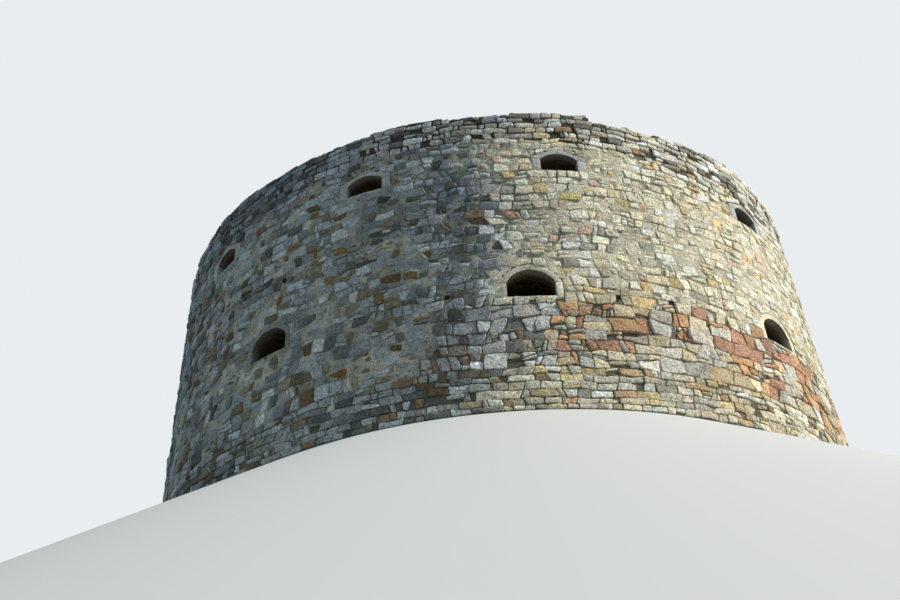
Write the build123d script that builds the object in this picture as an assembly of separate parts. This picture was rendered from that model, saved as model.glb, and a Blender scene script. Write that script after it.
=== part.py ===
from build123d import *
import math
import os

# A round artillery tower of rubble masonry: a battered ring wall on a filled base,
# a vaulted gun gallery behind the lower embrasures and an open gun platform behind the upper ones.
# Millimetres, +Z up. The origin is the centre of the foot. An azimuth is in degrees from the
# front (-Y), growing towards +X.

# Ring wall
RIM_RADIUS = 11500.0
BATTER = 0.06
GALLERY_WALL_THICKNESS = 3700.0
PARAPET_THICKNESS = 2500.0
UPPER_SILL_TO_HEAD = 2520.0
WALL_SEGMENTS = 6

# Floors, and the ring vault that carries the platform
GALLERY_FLOOR_LEVEL = 2950.0
PAVING_THICKNESS = 250.0
VAULT_RISE = 1700.0
VAULT_CROWN_THICKNESS = 700.0
VAULT_SEAT = 300.0
VAULT_SEGMENTS = 4
VAULT_FACETS = 6
PIER_RADIUS = 1750.0
PIER_WAIST = 150.0
PIER_BASE_HEIGHT = 300.0

# Lower embrasures: three show in the photograph, the rest are spaced evenly round the back
LOWER_SEEN_AZIMUTHS = (-34.5, 6.3, 49.0)
LOWER_UNSEEN_COUNT = 6
LOWER_SILL_HEIGHT = 810.0
LOWER_WIDTH = 1450.0
LOWER_JAMB_HEIGHT = 550.0
LOWER_ARCH_RISE = 450.0
LOWER_SPLAY_RATIO = 1.4
LOWER_COVER = 90.0
LOWER_JAMB_FACE = 200.0
LOWER_ARCH_FACE = 200.0

# Upper embrasures: four show in the photograph
UPPER_SEEN_AZIMUTHS = (-48.6, -17.8, 13.0, 50.1)
UPPER_UNSEEN_COUNT = 7
UPPER_SILL_HEIGHT = 780.0
UPPER_WIDTH = 1200.0
UPPER_JAMB_HEIGHT = 500.0
UPPER_ARCH_RISE = 240.0
UPPER_SPLAY_RATIO = 1.5
UPPER_COVER = 65.0
UPPER_JAMB_FACE = 280.0
UPPER_SHOULDER_DROP = 100.0
UPPER_ARCH_FACE = 220.0

# Dressed stones round the openings, and the rubble splay that starts wider behind them
SURROUND_DEPTH = 450.0
SURROUND_PROUD = 25.0
STONE_JOINT = 8.0
SPLAY_LAP = 50.0
SPLAY_REBATE = 40.0
SPLAY_FACETS = 8

# Doorway in the rear pier of the gallery wall
DOOR_WIDTH = 1400.0
DOOR_ARCH_RISE = 400.0
DOOR_JAMB_FACE = 300.0
DOOR_ARCH_FACE = 250.0
DOOR_COVER = 100.0
DOOR_VOUSSOIRS = 5

# The broken wall head: steps of one or two lost courses
HEAD_STEPS = 5
HEAD_COURSE = 110.0
HEAD_LOST_COURSES = (0, 1, 0, 2, 1, 0, 0, 1, 2, 1, 0, 1, 1)

# Only has to be longer than what it cuts through
OVERRUN = 1500.0

# Levels and radii that follow, from the foot up
LOWER_SILL_LEVEL = GALLERY_FLOOR_LEVEL + LOWER_SILL_HEIGHT
LOWER_INNER_HEIGHT = (LOWER_JAMB_HEIGHT + LOWER_ARCH_RISE) * LOWER_SPLAY_RATIO
VAULT_SPRING_LEVEL = LOWER_SILL_LEVEL + LOWER_INNER_HEIGHT + LOWER_COVER
PAVING_BED_LEVEL = VAULT_SPRING_LEVEL + VAULT_RISE + VAULT_CROWN_THICKNESS
PLATFORM_LEVEL = PAVING_BED_LEVEL + PAVING_THICKNESS
UPPER_SILL_LEVEL = PLATFORM_LEVEL + UPPER_SILL_HEIGHT
UPPER_INNER_HEIGHT = (UPPER_JAMB_HEIGHT + UPPER_ARCH_RISE) * UPPER_SPLAY_RATIO
UPPER_HEAD_LEVEL = UPPER_SILL_LEVEL + UPPER_INNER_HEIGHT + UPPER_COVER
WALL_HEIGHT = UPPER_SILL_LEVEL + UPPER_SILL_TO_HEAD
DOOR_JAMB_HEIGHT = VAULT_SPRING_LEVEL - DOOR_COVER - DOOR_ARCH_FACE - DOOR_ARCH_RISE - GALLERY_FLOOR_LEVEL
GALLERY_RADIUS = RIM_RADIUS - GALLERY_WALL_THICKNESS
PLATFORM_RADIUS = RIM_RADIUS - PARAPET_THICKNESS


def outer_radius(level):
    """Radius of the battered outer face at a level."""
    return RIM_RADIUS + BATTER * (WALL_HEIGHT - level)


def all_azimuths(seen, unseen_count):
    """The seen azimuths, then the unseen ones spaced evenly over the rest of the circle."""
    first, last = seen[0], seen[-1]
    gap = (360.0 - (last - first)) / (unseen_count + 1)
    return list(seen) + [last + gap * (i + 1) for i in range(unseen_count)]


def middle_azimuths(azimuths):
    """The azimuth half way from each opening to the next one."""
    following = azimuths[1:] + [azimuths[0] + 360.0]
    return [(a + b) / 2 for a, b in zip(azimuths, following)]


def sector(profile, start, end):
    """Turns a closed (radius, level) outline about the tower's axis from one azimuth to another."""
    face = make_face(Plane.XZ * Polyline(*profile, close=True))
    turned = revolve(face, axis=Axis.Z, revolution_arc=end - start)
    return Rot(0, 0, start - 90.0) * turned


def ring_profile(inner, bottom, top):
    """The section of the ring wall between two levels."""
    return [(inner, bottom), (outer_radius(bottom), bottom), (outer_radius(top), top), (inner, top)]


def skin_profile(bottom, top):
    """The section of the dressed skin between two levels, a little proud of the rubble."""
    return [
        (outer_radius(bottom) - SURROUND_DEPTH, bottom),
        (outer_radius(bottom) + SURROUND_PROUD, bottom),
        (outer_radius(top) + SURROUND_PROUD, top),
        (outer_radius(top) - SURROUND_DEPTH, top),
    ]


def place(azimuth, level=0.0):
    """Moves a shape drawn on the front face, X along the wall and Y inwards, to an azimuth."""
    return Rot(0, 0, azimuth) * Pos(0, 0, level)


def across(outline, outside, inside):
    """A prism whose section is drawn on the wall's face, X along it and Y up, cut straight inwards."""
    section = make_face(Plane.XZ * outline)
    return Pos(0, -inside, 0) * extrude(section, outside - inside, dir=(0, -1, 0))


def opening_outline(half_width, jamb_height, rise):
    """A segmental-arched opening, drawn from its sill."""
    left, right = (-half_width, jamb_height), (half_width, jamb_height)
    return Wire(
        [
            Line((half_width, 0), right),
            ThreePointArc(right, (0, jamb_height + rise), left),
            Line(left, (-half_width, 0)),
            Line((-half_width, 0), (half_width, 0)),
        ]
    )


def arc_radius(half_width, rise):
    """Radius of a segmental arch from its half span and rise."""
    return (half_width**2 + rise**2) / (2 * rise)


class Tier:
    """One row of embrasures: its sizes, its levels and the solids that it is cut and built with."""

    def __init__(self, azimuths, sill, head, inner_radius, width, jamb, rise, ratio, jamb_face, arch_back):
        self.azimuths = azimuths
        self.sill = sill
        self.head = head
        self.inner_radius = inner_radius
        self.half_width = width / 2
        self.jamb = jamb
        self.rise = rise
        self.ratio = ratio
        self.jamb_face = jamb_face
        self.arch_back = arch_back
        self.throat_radius = outer_radius(sill) - SURROUND_DEPTH + SPLAY_LAP
        self.outside = outer_radius(sill) + OVERRUN
        self.inside = inner_radius - OVERRUN / 3
        self.radius = arc_radius(self.half_width, rise)
        self.centre = jamb + rise - self.radius
        reach = math.asin(self.half_width / self.radius)
        if rise > self.half_width:
            reach = math.pi - reach
        self.angles = [reach - 2 * reach * i / SPLAY_FACETS for i in range(SPLAY_FACETS + 1)]

    def scale_at(self, radius):
        """How much larger than its mouth the splay is at a distance from the axis."""
        start = 1 + SPLAY_REBATE / self.half_width
        reach = (self.throat_radius - radius) / (self.throat_radius - self.inner_radius)
        return start + (self.ratio - start) * reach

    def splay_outline(self, scale):
        """The mouth's outline with a faceted arch, scaled about the middle of its sill."""
        arch = [self.at(self.radius, a) for a in self.angles]
        points = [(self.half_width, 0)] + arch + [(-self.half_width, 0)]
        return Polyline(*[(x * scale, y * scale) for x, y in points], close=True)

    def at(self, radius, angle):
        """A point at an angle from the arch's crown, over the middle of the sill."""
        return (radius * math.sin(angle), self.centre + radius * math.cos(angle))

    def course_outline(self, index, scale):
        """The wedge that one course of the splay's vault lies in, open at its joints."""
        joint = STONE_JOINT / 2 / self.radius
        first = self.angles[index] + (joint if index == 0 else -joint)
        last = self.angles[index + 1] + (-joint if index + 1 == SPLAY_FACETS else joint)
        far = 2 * (self.head - self.sill + self.half_width * self.ratio)
        points = [(0, self.centre), self.at(far, first), self.at(far, last)]
        return Polyline(*[(x * scale, y * scale) for x, y in points], close=True)

    def splayed(self, outline, outside, inside):
        """A solid that widens inwards as the splay does, from a section that takes a scale."""
        ends = [
            Pos(0, -radius, 0) * make_face(Plane.XZ * outline(self.scale_at(radius)))
            for radius in (outside, inside)
        ]
        return loft(ends, ruled=True)

    def void(self):
        """The splayed embrasure, at the front of the tower."""
        mouth = opening_outline(self.half_width, self.jamb, self.rise)
        neck = across(mouth, self.outside, self.throat_radius)
        splay = self.splayed(self.splay_outline, self.throat_radius, self.inside)
        return Pos(0, 0, self.sill) * (neck + splay)

    def slot(self):
        """The embrasure's plan, cut up through the whole tier."""
        near = self.half_width * self.scale_at(self.throat_radius)
        far = self.half_width * self.scale_at(self.inside)
        plan = Polyline(
            (-self.half_width, -self.outside),
            (self.half_width, -self.outside),
            (self.half_width, -self.throat_radius),
            (near, -self.throat_radius),
            (far, -self.inside),
            (-far, -self.inside),
            (-near, -self.throat_radius),
            (-self.half_width, -self.throat_radius),
            close=True,
        )
        return Pos(0, 0, self.sill) * extrude(make_face(plan), self.head - self.sill, dir=(0, 0, 1))

    def vault_courses(self):
        """The masonry over one embrasure, in wedge-shaped courses, at the front of the tower."""
        span = math.degrees(2 * self.half_width * self.ratio / self.inner_radius)
        bay = sector(ring_profile(self.inner_radius, self.sill, self.head), -span, span)
        vault = (bay & self.slot()) - self.void() - self.surround_blank()
        wedges = [
            self.splayed(lambda scale, i=i: self.course_outline(i, scale), self.outside, self.inside)
            for i in range(SPLAY_FACETS)
        ]
        return [vault & (Pos(0, 0, self.sill) * wedge) for wedge in wedges]

    def face_slab(self):
        """The skin of the wall that the dressed stones stand in, at the front of the tower."""
        span = math.degrees(2 * (self.half_width + self.jamb_face) / RIM_RADIUS)
        return sector(skin_profile(self.sill, self.head), -span, span)

    def jamb_stones(self):
        """The two dressed jambs, at the front of the tower."""
        blanks = [
            across(
                Polyline(
                    (side * self.half_width, 0),
                    (side * (self.half_width + self.jamb_face), 0),
                    (side * (self.half_width + self.jamb_face), self.jamb),
                    (side * self.half_width, self.jamb),
                    close=True,
                ),
                self.outside,
                self.inside,
            )
            for side in (-1, 1)
        ]
        slab = self.face_slab()
        return [slab & (Pos(0, 0, self.sill) * blank) for blank in blanks]

    def arch_stones(self):
        """The two stones of the arch, which meet over its crown, at the front of the tower."""
        back = across(self.arch_back(self), self.outside, self.inside)
        mouth = opening_outline(self.half_width, self.jamb, self.rise)
        hollow = across(mouth, self.outside + OVERRUN, self.inside - OVERRUN)
        ring = self.face_slab() & (Pos(0, 0, self.sill) * (back - hollow))
        reach = self.half_width + self.jamb_face
        stones = []
        for side in (-1, 1):
            half = Pos(side * (reach / 2 + STONE_JOINT / 2), -outer_radius(self.sill), self.sill + self.jamb)
            keep = half * Box(reach, 2 * OVERRUN, 2 * (self.head - self.sill))
            stones.append(ring & keep)
        return stones

    def surround_blank(self):
        """All that the dressed stones take out of the wall behind them, at the front of the tower."""
        back = across(self.arch_back(self), self.outside, self.inside)
        wide = self.half_width + self.jamb_face
        foot = Polyline((-wide, 0), (wide, 0), (wide, self.jamb), (-wide, self.jamb), close=True)
        jambs = across(foot, self.outside, self.inside)
        return self.face_slab() & (Pos(0, 0, self.sill) * (back + jambs))


def shouldered_back(tier):
    """The upper arch's back: square shoulders and a low gable."""
    wide = tier.half_width + tier.jamb_face
    crown = tier.jamb + tier.rise + UPPER_ARCH_FACE
    shoulder = tier.jamb + tier.rise - UPPER_SHOULDER_DROP
    return Polyline(
        (wide, tier.jamb), (wide, shoulder), (0, crown), (-wide, shoulder), (-wide, tier.jamb), close=True
    )


def round_back(tier):
    """The lower arch's back: an arc that runs over the jambs."""
    wide = tier.half_width + tier.jamb_face
    return Wire(
        [
            ThreePointArc(
                (wide, tier.jamb), (0, tier.jamb + tier.rise + LOWER_ARCH_FACE), (-wide, tier.jamb)
            ),
            Line((-wide, tier.jamb), (wide, tier.jamb)),
        ]
    )


LOWER = Tier(
    all_azimuths(LOWER_SEEN_AZIMUTHS, LOWER_UNSEEN_COUNT),
    LOWER_SILL_LEVEL,
    VAULT_SPRING_LEVEL,
    GALLERY_RADIUS,
    LOWER_WIDTH,
    LOWER_JAMB_HEIGHT,
    LOWER_ARCH_RISE,
    LOWER_SPLAY_RATIO,
    LOWER_JAMB_FACE,
    round_back,
)
UPPER = Tier(
    all_azimuths(UPPER_SEEN_AZIMUTHS, UPPER_UNSEEN_COUNT),
    UPPER_SILL_LEVEL,
    UPPER_HEAD_LEVEL,
    PLATFORM_RADIUS,
    UPPER_WIDTH,
    UPPER_JAMB_HEIGHT,
    UPPER_ARCH_RISE,
    UPPER_SPLAY_RATIO,
    UPPER_JAMB_FACE,
    shouldered_back,
)
LOWER_PIER_AZIMUTHS = middle_azimuths(LOWER.azimuths)
UPPER_PIER_AZIMUTHS = middle_azimuths(UPPER.azimuths)
# The doorway stands in the pier nearest to the back
DOOR_AZIMUTH = min(LOWER_PIER_AZIMUTHS, key=lambda a: abs(a - 180.0))


def tier_pieces(tier, pier_azimuths):
    """The piers, the vaults over the embrasures, the jamb stones and the arch stones of one tier."""
    piers, vaults, jambs, arches = [], [], [], []
    slot, blank, courses = tier.slot(), tier.surround_blank(), tier.vault_courses()
    jamb_pair, arch_pair = tier.jamb_stones(), tier.arch_stones()
    profile = ring_profile(tier.inner_radius, tier.sill, tier.head)
    for azimuth in tier.azimuths:
        vaults += [place(azimuth) * course for course in courses]
        jambs += [place(azimuth) * stone for stone in jamb_pair]
        arches += [place(azimuth) * stone for stone in arch_pair]
    openings = [place(a) * (slot + blank) for a in tier.azimuths]
    for index, middle in enumerate(pier_azimuths):
        left = tier.azimuths[index]
        right = tier.azimuths[(index + 1) % len(tier.azimuths)]
        right += 360.0 if right < left else 0.0
        pier = sector(profile, left, right)
        pier = pier - openings[index] - openings[(index + 1) % len(openings)]
        piers.append(pier)
    return piers, vaults, jambs, arches


def wall_ring(name, inner, bottom, top):
    """One level of the ring wall as equal segments, with a joint over the doorway."""
    span = 360.0 / WALL_SEGMENTS
    profile = ring_profile(inner, bottom, top)
    starts = [DOOR_AZIMUTH + span * i for i in range(WALL_SEGMENTS)]
    return {f"{name}_{i + 1}": sector(profile, a, a + span) for i, a in enumerate(starts)}


def door_prism(half_width, bottom, top):
    """A straight slot through the wall at the doorway."""
    long_enough = outer_radius(0) + OVERRUN
    cut = Pos(0, -long_enough / 2, (bottom + top) / 2) * Box(2 * half_width, long_enough, top - bottom)
    return place(DOOR_AZIMUTH) * cut


def door_face(outline):
    """A section of the doorway's dressed stone, cut from the skin of the wall."""
    half = DOOR_WIDTH / 2 + DOOR_JAMB_FACE
    span = math.degrees(2 * half / RIM_RADIUS)
    profile = skin_profile(GALLERY_FLOOR_LEVEL, VAULT_SPRING_LEVEL)
    outside = outer_radius(0) + OVERRUN
    cut = Pos(0, 0, GALLERY_FLOOR_LEVEL) * across(outline, outside, outside - 3 * OVERRUN)
    return place(DOOR_AZIMUTH) * (sector(profile, -span, span) & cut)


def door_jamb_outline(side):
    """One dressed door jamb."""
    near, far = DOOR_WIDTH / 2, DOOR_WIDTH / 2 + DOOR_JAMB_FACE
    return Polyline(
        (side * near, 0), (side * far, 0), (side * far, DOOR_JAMB_HEIGHT), (side * near, DOOR_JAMB_HEIGHT),
        close=True,
    )


def voussoir_outline(index):
    """One voussoir of the door arch, between two joints that point at the arch's centre."""
    half = DOOR_WIDTH / 2
    radius = arc_radius(half, DOOR_ARCH_RISE)
    centre = DOOR_JAMB_HEIGHT + DOOR_ARCH_RISE - radius
    reach = math.asin(half / radius)
    joint = STONE_JOINT / 2 / radius
    low = -reach + 2 * reach * index / DOOR_VOUSSOIRS + (joint if index else 0)
    high = -reach + 2 * reach * (index + 1) / DOOR_VOUSSOIRS - (joint if index + 1 < DOOR_VOUSSOIRS else 0)
    far = radius + DOOR_ARCH_FACE

    def at(r, angle):
        return (r * math.sin(angle), centre + r * math.cos(angle))

    middle = (low + high) / 2
    return Wire(
        [
            ThreePointArc(at(radius, low), at(radius, middle), at(radius, high)),
            Line(at(radius, high), at(far, high)),
            ThreePointArc(at(far, high), at(far, middle), at(far, low)),
            Line(at(far, low), at(radius, low)),
        ]
    )


def door_arch_blank():
    """The whole ring that the door's voussoirs fill."""
    half = DOOR_WIDTH / 2
    radius = arc_radius(half, DOOR_ARCH_RISE)
    centre = DOOR_JAMB_HEIGHT + DOOR_ARCH_RISE - radius
    reach = math.asin(half / radius)
    far = radius + DOOR_ARCH_FACE
    side = (far * math.sin(reach), centre + far * math.cos(reach))
    return Wire(
        [
            ThreePointArc(
                (half, DOOR_JAMB_HEIGHT), (0, DOOR_JAMB_HEIGHT + DOOR_ARCH_RISE), (-half, DOOR_JAMB_HEIGHT)
            ),
            Line((-half, DOOR_JAMB_HEIGHT), (-side[0], side[1])),
            ThreePointArc((-side[0], side[1]), (0, centre + far), side),
            Line(side, (half, DOOR_JAMB_HEIGHT)),
        ]
    )


def broken_head(segment, start):
    """Takes the lost courses off the top of one wall head segment, step by step."""
    step = 360.0 / WALL_SEGMENTS / HEAD_STEPS
    first = round((start - DOOR_AZIMUTH) / step)
    for i in range(HEAD_STEPS):
        lost = HEAD_LOST_COURSES[(first + i) % len(HEAD_LOST_COURSES)]
        if lost == 0:
            continue
        bottom = WALL_HEIGHT - lost * HEAD_COURSE
        profile = [
            (PLATFORM_RADIUS - OVERRUN, bottom),
            (outer_radius(bottom) + OVERRUN, bottom),
            (outer_radius(bottom) + OVERRUN, WALL_HEIGHT + OVERRUN),
            (PLATFORM_RADIUS - OVERRUN, WALL_HEIGHT + OVERRUN),
        ]
        segment = segment - sector(profile, start + step * i, start + step * (i + 1))
    return segment


def gallery_vault_profile():
    """The section of the ring vault and of the fill over it."""
    middle = (GALLERY_RADIUS + PIER_RADIUS) / 2
    half = (GALLERY_RADIUS - PIER_RADIUS) / 2
    radius = arc_radius(half, VAULT_RISE)
    reach = math.asin(half / radius)
    centre = VAULT_SPRING_LEVEL + VAULT_RISE - radius
    angles = [-reach + 2 * reach * i / VAULT_FACETS for i in range(VAULT_FACETS + 1)]
    soffit = [(middle + radius * math.sin(a), centre + radius * math.cos(a)) for a in angles]
    spring = VAULT_SPRING_LEVEL
    top = PAVING_BED_LEVEL
    outside, inside = GALLERY_RADIUS + VAULT_SEAT, PIER_RADIUS - VAULT_SEAT
    return soffit + [(outside, spring), (outside, top), (inside, top), (inside, spring)]


def disc(radius, bottom, top):
    """A round slab on the tower's axis."""
    return Pos(0, 0, (bottom + top) / 2) * Cylinder(radius, top - bottom)


def central_pier():
    """The round pier that the ring vault springs from, with a plinth and an impost."""
    floor, spring = GALLERY_FLOOR_LEVEL, VAULT_SPRING_LEVEL
    waist = PIER_RADIUS - PIER_WAIST
    profile = [
        (0, floor),
        (PIER_RADIUS, floor),
        (PIER_RADIUS, floor + PIER_BASE_HEIGHT),
        (waist, floor + PIER_BASE_HEIGHT + PIER_WAIST),
        (waist, spring - PIER_BASE_HEIGHT - PIER_WAIST),
        (PIER_RADIUS, spring - PIER_BASE_HEIGHT),
        (PIER_RADIUS, spring),
        (PIER_RADIUS - VAULT_SEAT, spring),
        (PIER_RADIUS - VAULT_SEAT, PAVING_BED_LEVEL),
        (0, PAVING_BED_LEVEL),
    ]
    return sector(profile, 0, 360)


def build():
    """All the nodes of the tower, by name."""
    nodes = {}
    half_door = DOOR_WIDTH / 2
    door_head = VAULT_SPRING_LEVEL

    base = wall_ring("base_wall", GALLERY_RADIUS, 0, LOWER_SILL_LEVEL)
    door_slot = door_prism(half_door, -OVERRUN, door_head)
    jamb_stones = [door_face(door_jamb_outline(side)) for side in (-1, 1)]
    arch_blank = door_face(door_arch_blank())
    for name, segment in base.items():
        nodes[name] = segment - door_slot - jamb_stones[0] - jamb_stones[1]
    gap = 360.0 / WALL_SEGMENTS / 2
    under = sector(
        ring_profile(GALLERY_RADIUS, 0, GALLERY_FLOOR_LEVEL), DOOR_AZIMUTH - gap, DOOR_AZIMUTH + gap
    )
    nodes["doorway_footing"] = under & door_prism(half_door, -OVERRUN, GALLERY_FLOOR_LEVEL + OVERRUN)

    piers, vaults, jambs, arches = tier_pieces(LOWER, LOWER_PIER_AZIMUTHS)
    doorless = []
    for pier in piers:
        cut = pier - door_slot - jamb_stones[0] - jamb_stones[1] - arch_blank
        doorless += cut.solids()
    nodes["lower_piers"] = Compound(doorless)
    nodes["lower_embrasure_vaults"] = Compound([s for v in vaults for s in v.solids()])
    nodes["lower_jamb_stones"] = Compound([s for v in jambs for s in v.solids()])
    nodes["lower_arch_stones"] = Compound([s for v in arches for s in v.solids()])

    over = sector(
        ring_profile(GALLERY_RADIUS, LOWER_SILL_LEVEL, door_head), DOOR_AZIMUTH - gap, DOOR_AZIMUTH + gap
    )
    door_void = across(
        opening_outline(half_door, DOOR_JAMB_HEIGHT, DOOR_ARCH_RISE), outer_radius(0) + OVERRUN, 0
    )
    door_void = place(DOOR_AZIMUTH, GALLERY_FLOOR_LEVEL) * door_void
    nodes["doorway_vault"] = (over & door_slot) - door_void - arch_blank
    nodes["doorway_jamb_stones"] = Compound([s for j in jamb_stones for s in j.solids()])
    voussoirs = [door_face(voussoir_outline(i)) for i in range(DOOR_VOUSSOIRS)]
    nodes["doorway_arch_stones"] = Compound([s for v in voussoirs for s in v.solids()])

    nodes.update(wall_ring("band_wall", GALLERY_RADIUS + VAULT_SEAT, VAULT_SPRING_LEVEL, PAVING_BED_LEVEL))
    nodes.update(wall_ring("parapet_wall", PLATFORM_RADIUS, PAVING_BED_LEVEL, UPPER_SILL_LEVEL))

    piers, vaults, jambs, arches = tier_pieces(UPPER, UPPER_PIER_AZIMUTHS)
    nodes["upper_piers"] = Compound([s for v in piers for s in v.solids()])
    nodes["upper_embrasure_vaults"] = Compound([s for v in vaults for s in v.solids()])
    nodes["upper_jamb_stones"] = Compound([s for v in jambs for s in v.solids()])
    nodes["upper_arch_stones"] = Compound([s for v in arches for s in v.solids()])

    span = 360.0 / WALL_SEGMENTS
    head = wall_ring("wall_head", PLATFORM_RADIUS, UPPER_HEAD_LEVEL, WALL_HEIGHT)
    for index, (name, segment) in enumerate(head.items()):
        nodes[name] = broken_head(segment, DOOR_AZIMUTH + span * index)

    nodes["base_fill"] = disc(GALLERY_RADIUS, 0, GALLERY_FLOOR_LEVEL - PAVING_THICKNESS)
    nodes["gallery_floor"] = disc(
        GALLERY_RADIUS, GALLERY_FLOOR_LEVEL - PAVING_THICKNESS, GALLERY_FLOOR_LEVEL
    )
    nodes["central_pier"] = central_pier()
    vault_span = 360.0 / VAULT_SEGMENTS
    for i in range(VAULT_SEGMENTS):
        start = DOOR_AZIMUTH + vault_span * i
        nodes[f"gallery_vault_{i + 1}"] = sector(gallery_vault_profile(), start, start + vault_span)
    nodes["platform_paving"] = disc(PLATFORM_RADIUS, PAVING_BED_LEVEL, PLATFORM_LEVEL)
    return nodes


os.makedirs("parts", exist_ok=True)
for node_name, shape in build().items():
    export_step(shape, f"parts/{node_name}.step")
print("lower embrasures at", [round(a, 1) for a in LOWER.azimuths])
print("upper embrasures at", [round(a, 1) for a in UPPER.azimuths])
print("doorway at", round(DOOR_AZIMUTH, 2))
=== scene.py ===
"""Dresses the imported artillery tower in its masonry, and sets the camera and the light."""

import logging
import math
import random
from dataclasses import dataclass, field
from enum import Enum
from functools import partial
from typing import Callable, ClassVar, Iterable, Iterator, Optional, Sequence

import bmesh
import bpy
from mathutils import Matrix, Vector, noise


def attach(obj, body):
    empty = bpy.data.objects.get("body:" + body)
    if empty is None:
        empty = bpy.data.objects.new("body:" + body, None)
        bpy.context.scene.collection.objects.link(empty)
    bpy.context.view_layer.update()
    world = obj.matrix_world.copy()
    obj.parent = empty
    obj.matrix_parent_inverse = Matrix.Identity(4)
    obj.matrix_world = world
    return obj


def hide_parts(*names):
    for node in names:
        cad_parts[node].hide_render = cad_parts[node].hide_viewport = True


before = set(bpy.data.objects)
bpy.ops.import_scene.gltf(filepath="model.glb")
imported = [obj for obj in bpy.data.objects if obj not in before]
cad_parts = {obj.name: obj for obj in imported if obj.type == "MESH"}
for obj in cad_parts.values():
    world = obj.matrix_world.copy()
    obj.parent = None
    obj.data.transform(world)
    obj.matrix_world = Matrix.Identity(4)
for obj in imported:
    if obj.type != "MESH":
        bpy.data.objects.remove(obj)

LOG = logging.getLogger("tower")
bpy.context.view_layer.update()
NOISE_SEED = 5
PATTERN_RADIUS = 12.0
PATTERN_OFFSET = (3.1, 7.7)
RANGE_SOCKETS = ("From Min", "From Max", "To Min", "To Max")

Point = tuple[float, float]
Place = tuple[float, float, float]
Outline = list[Point]
Block = tuple[Point, Point, Point, Point]
Placing = Callable[[float, float, float], Place]
Colour = tuple[float, float, float]


def colour(code: str) -> Colour:
    """Turns a screen colour, six hexadecimal digits, into the linear one that a shader takes."""
    channels = [int(code[i : i + 2], 16) / 255 for i in (0, 2, 4)]
    return tuple(c / 12.92 if c <= 0.04045 else ((c + 0.055) / 1.055) ** 2.4 for c in channels)


def short_way(azimuth: float) -> float:
    """Returns an azimuth as the shorter way round, from -180 to 180 degrees."""
    return (azimuth + 180) % 360 - 180


def around(angle: float, radius: float, level: float) -> Place:
    """Returns the place at an angle from the front, a radius off the tower's axis and a level."""
    return (radius * math.sin(angle), -radius * math.cos(angle), level)


# Sizes of the tower and its openings.


@dataclass(frozen=True)
class Tower:
    """The tower's own sizes, in metres, as the solids have them."""

    height: float = 11.2
    rim_radius: float = 11.5
    batter: float = 0.06
    platform_radius: float = 9.0
    platform_level: float = 7.9
    gallery_level: float = 2.95
    head_course: float = 0.11
    head_step: float = 12.0
    door_azimuth: float = 187.25
    lost_courses: tuple[int, ...] = (0, 1, 0, 2, 1, 0, 0, 1, 2, 1, 0, 1, 1)

    def outer_radius(self, level: float) -> float:
        """Returns the radius of the battered face at a level."""
        return self.rim_radius + self.batter * (self.height - level)

    def head_level(self, azimuth: float) -> float:
        """Finds how high the broken wall head stands at a place.

        Args:
            azimuth: degrees from the front.

        Returns:
            The level, in metres over the foot.
        """
        count = round(360 / self.head_step)
        index = int(((azimuth - self.door_azimuth) % 360) / self.head_step) % count
        return self.height - self.head_course * self.lost_courses[index % len(self.lost_courses)]


TOWER = Tower()


@dataclass(frozen=True)
class Mouth:
    """One embrasure's or doorway's opening, with its dressed stones, on the wall's face."""

    azimuth: float
    sill: float
    half_width: float
    jamb: float
    rise: float
    band: float
    back: tuple[Point, ...]

    def outline(self, bed: float = 0.05) -> Outline:
        """Returns the outline of the dressed stones, anticlockwise from the sill's left end."""
        wide = self.half_width + self.band
        return [(-wide, bed), (wide, bed), *self.back]


def arc_back(half_width: float, jamb: float, rise: float, count: int = 8) -> tuple[Point, ...]:
    """Works out the points of an arc, from the right springing to the left one.

    Args:
        half_width: half the arc's span.
        jamb: height of the springing.
        rise: rise of the arc.
        count: number of chords.

    Returns:
        The points, from the middle of the sill.
    """
    radius = (half_width**2 + rise**2) / (2 * rise)
    reach = math.asin(min(1.0, half_width / radius))
    centre = jamb + rise - radius
    angles = [reach - 2 * reach * i / count for i in range(count + 1)]
    return tuple((radius * math.sin(a), centre + radius * math.cos(a)) for a in angles)


def lower_mouth(azimuth: float) -> Mouth:
    """Returns a lower embrasure, round-backed."""
    back = arc_back(half_width=0.925, jamb=0.55, rise=0.65)
    return Mouth(azimuth, sill=3.76, half_width=0.725, jamb=0.55, rise=0.45, band=0.2, back=back)


def upper_mouth(azimuth: float) -> Mouth:
    """Returns an upper embrasure, with square shoulders."""
    back = ((0.88, 0.64), (0.0, 0.96), (-0.88, 0.64))
    return Mouth(azimuth, sill=8.68, half_width=0.6, jamb=0.5, rise=0.24, band=0.28, back=back)


LOWER_MOUTHS = tuple(lower_mouth(a) for a in (-34.5, 6.3, 49.0, 88.5, 128.0, 167.5, 207.0, 246.5, 286.0))
UPPER_MOUTHS = tuple(
    upper_mouth(a) for a in (-48.6, -17.8, 13.0, 50.1, 82.77, 115.44, 148.11, 180.79, 213.46, 246.13, 278.8)
)
DOORWAY = Mouth(
    TOWER.door_azimuth, sill=2.95, half_width=0.7, jamb=1.55, rise=0.4, band=0.3,
    back=arc_back(half_width=0.95, jamb=1.6, rise=0.6),
)
MOUTHS = (*LOWER_MOUTHS, *UPPER_MOUTHS, DOORWAY)
PUTLOGS = ((-32.0, 6.4), (-5.5, 4.0), (18.6, 3.87), (26.9, 3.92))


# Kinds of masonry, and where each is.


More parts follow.
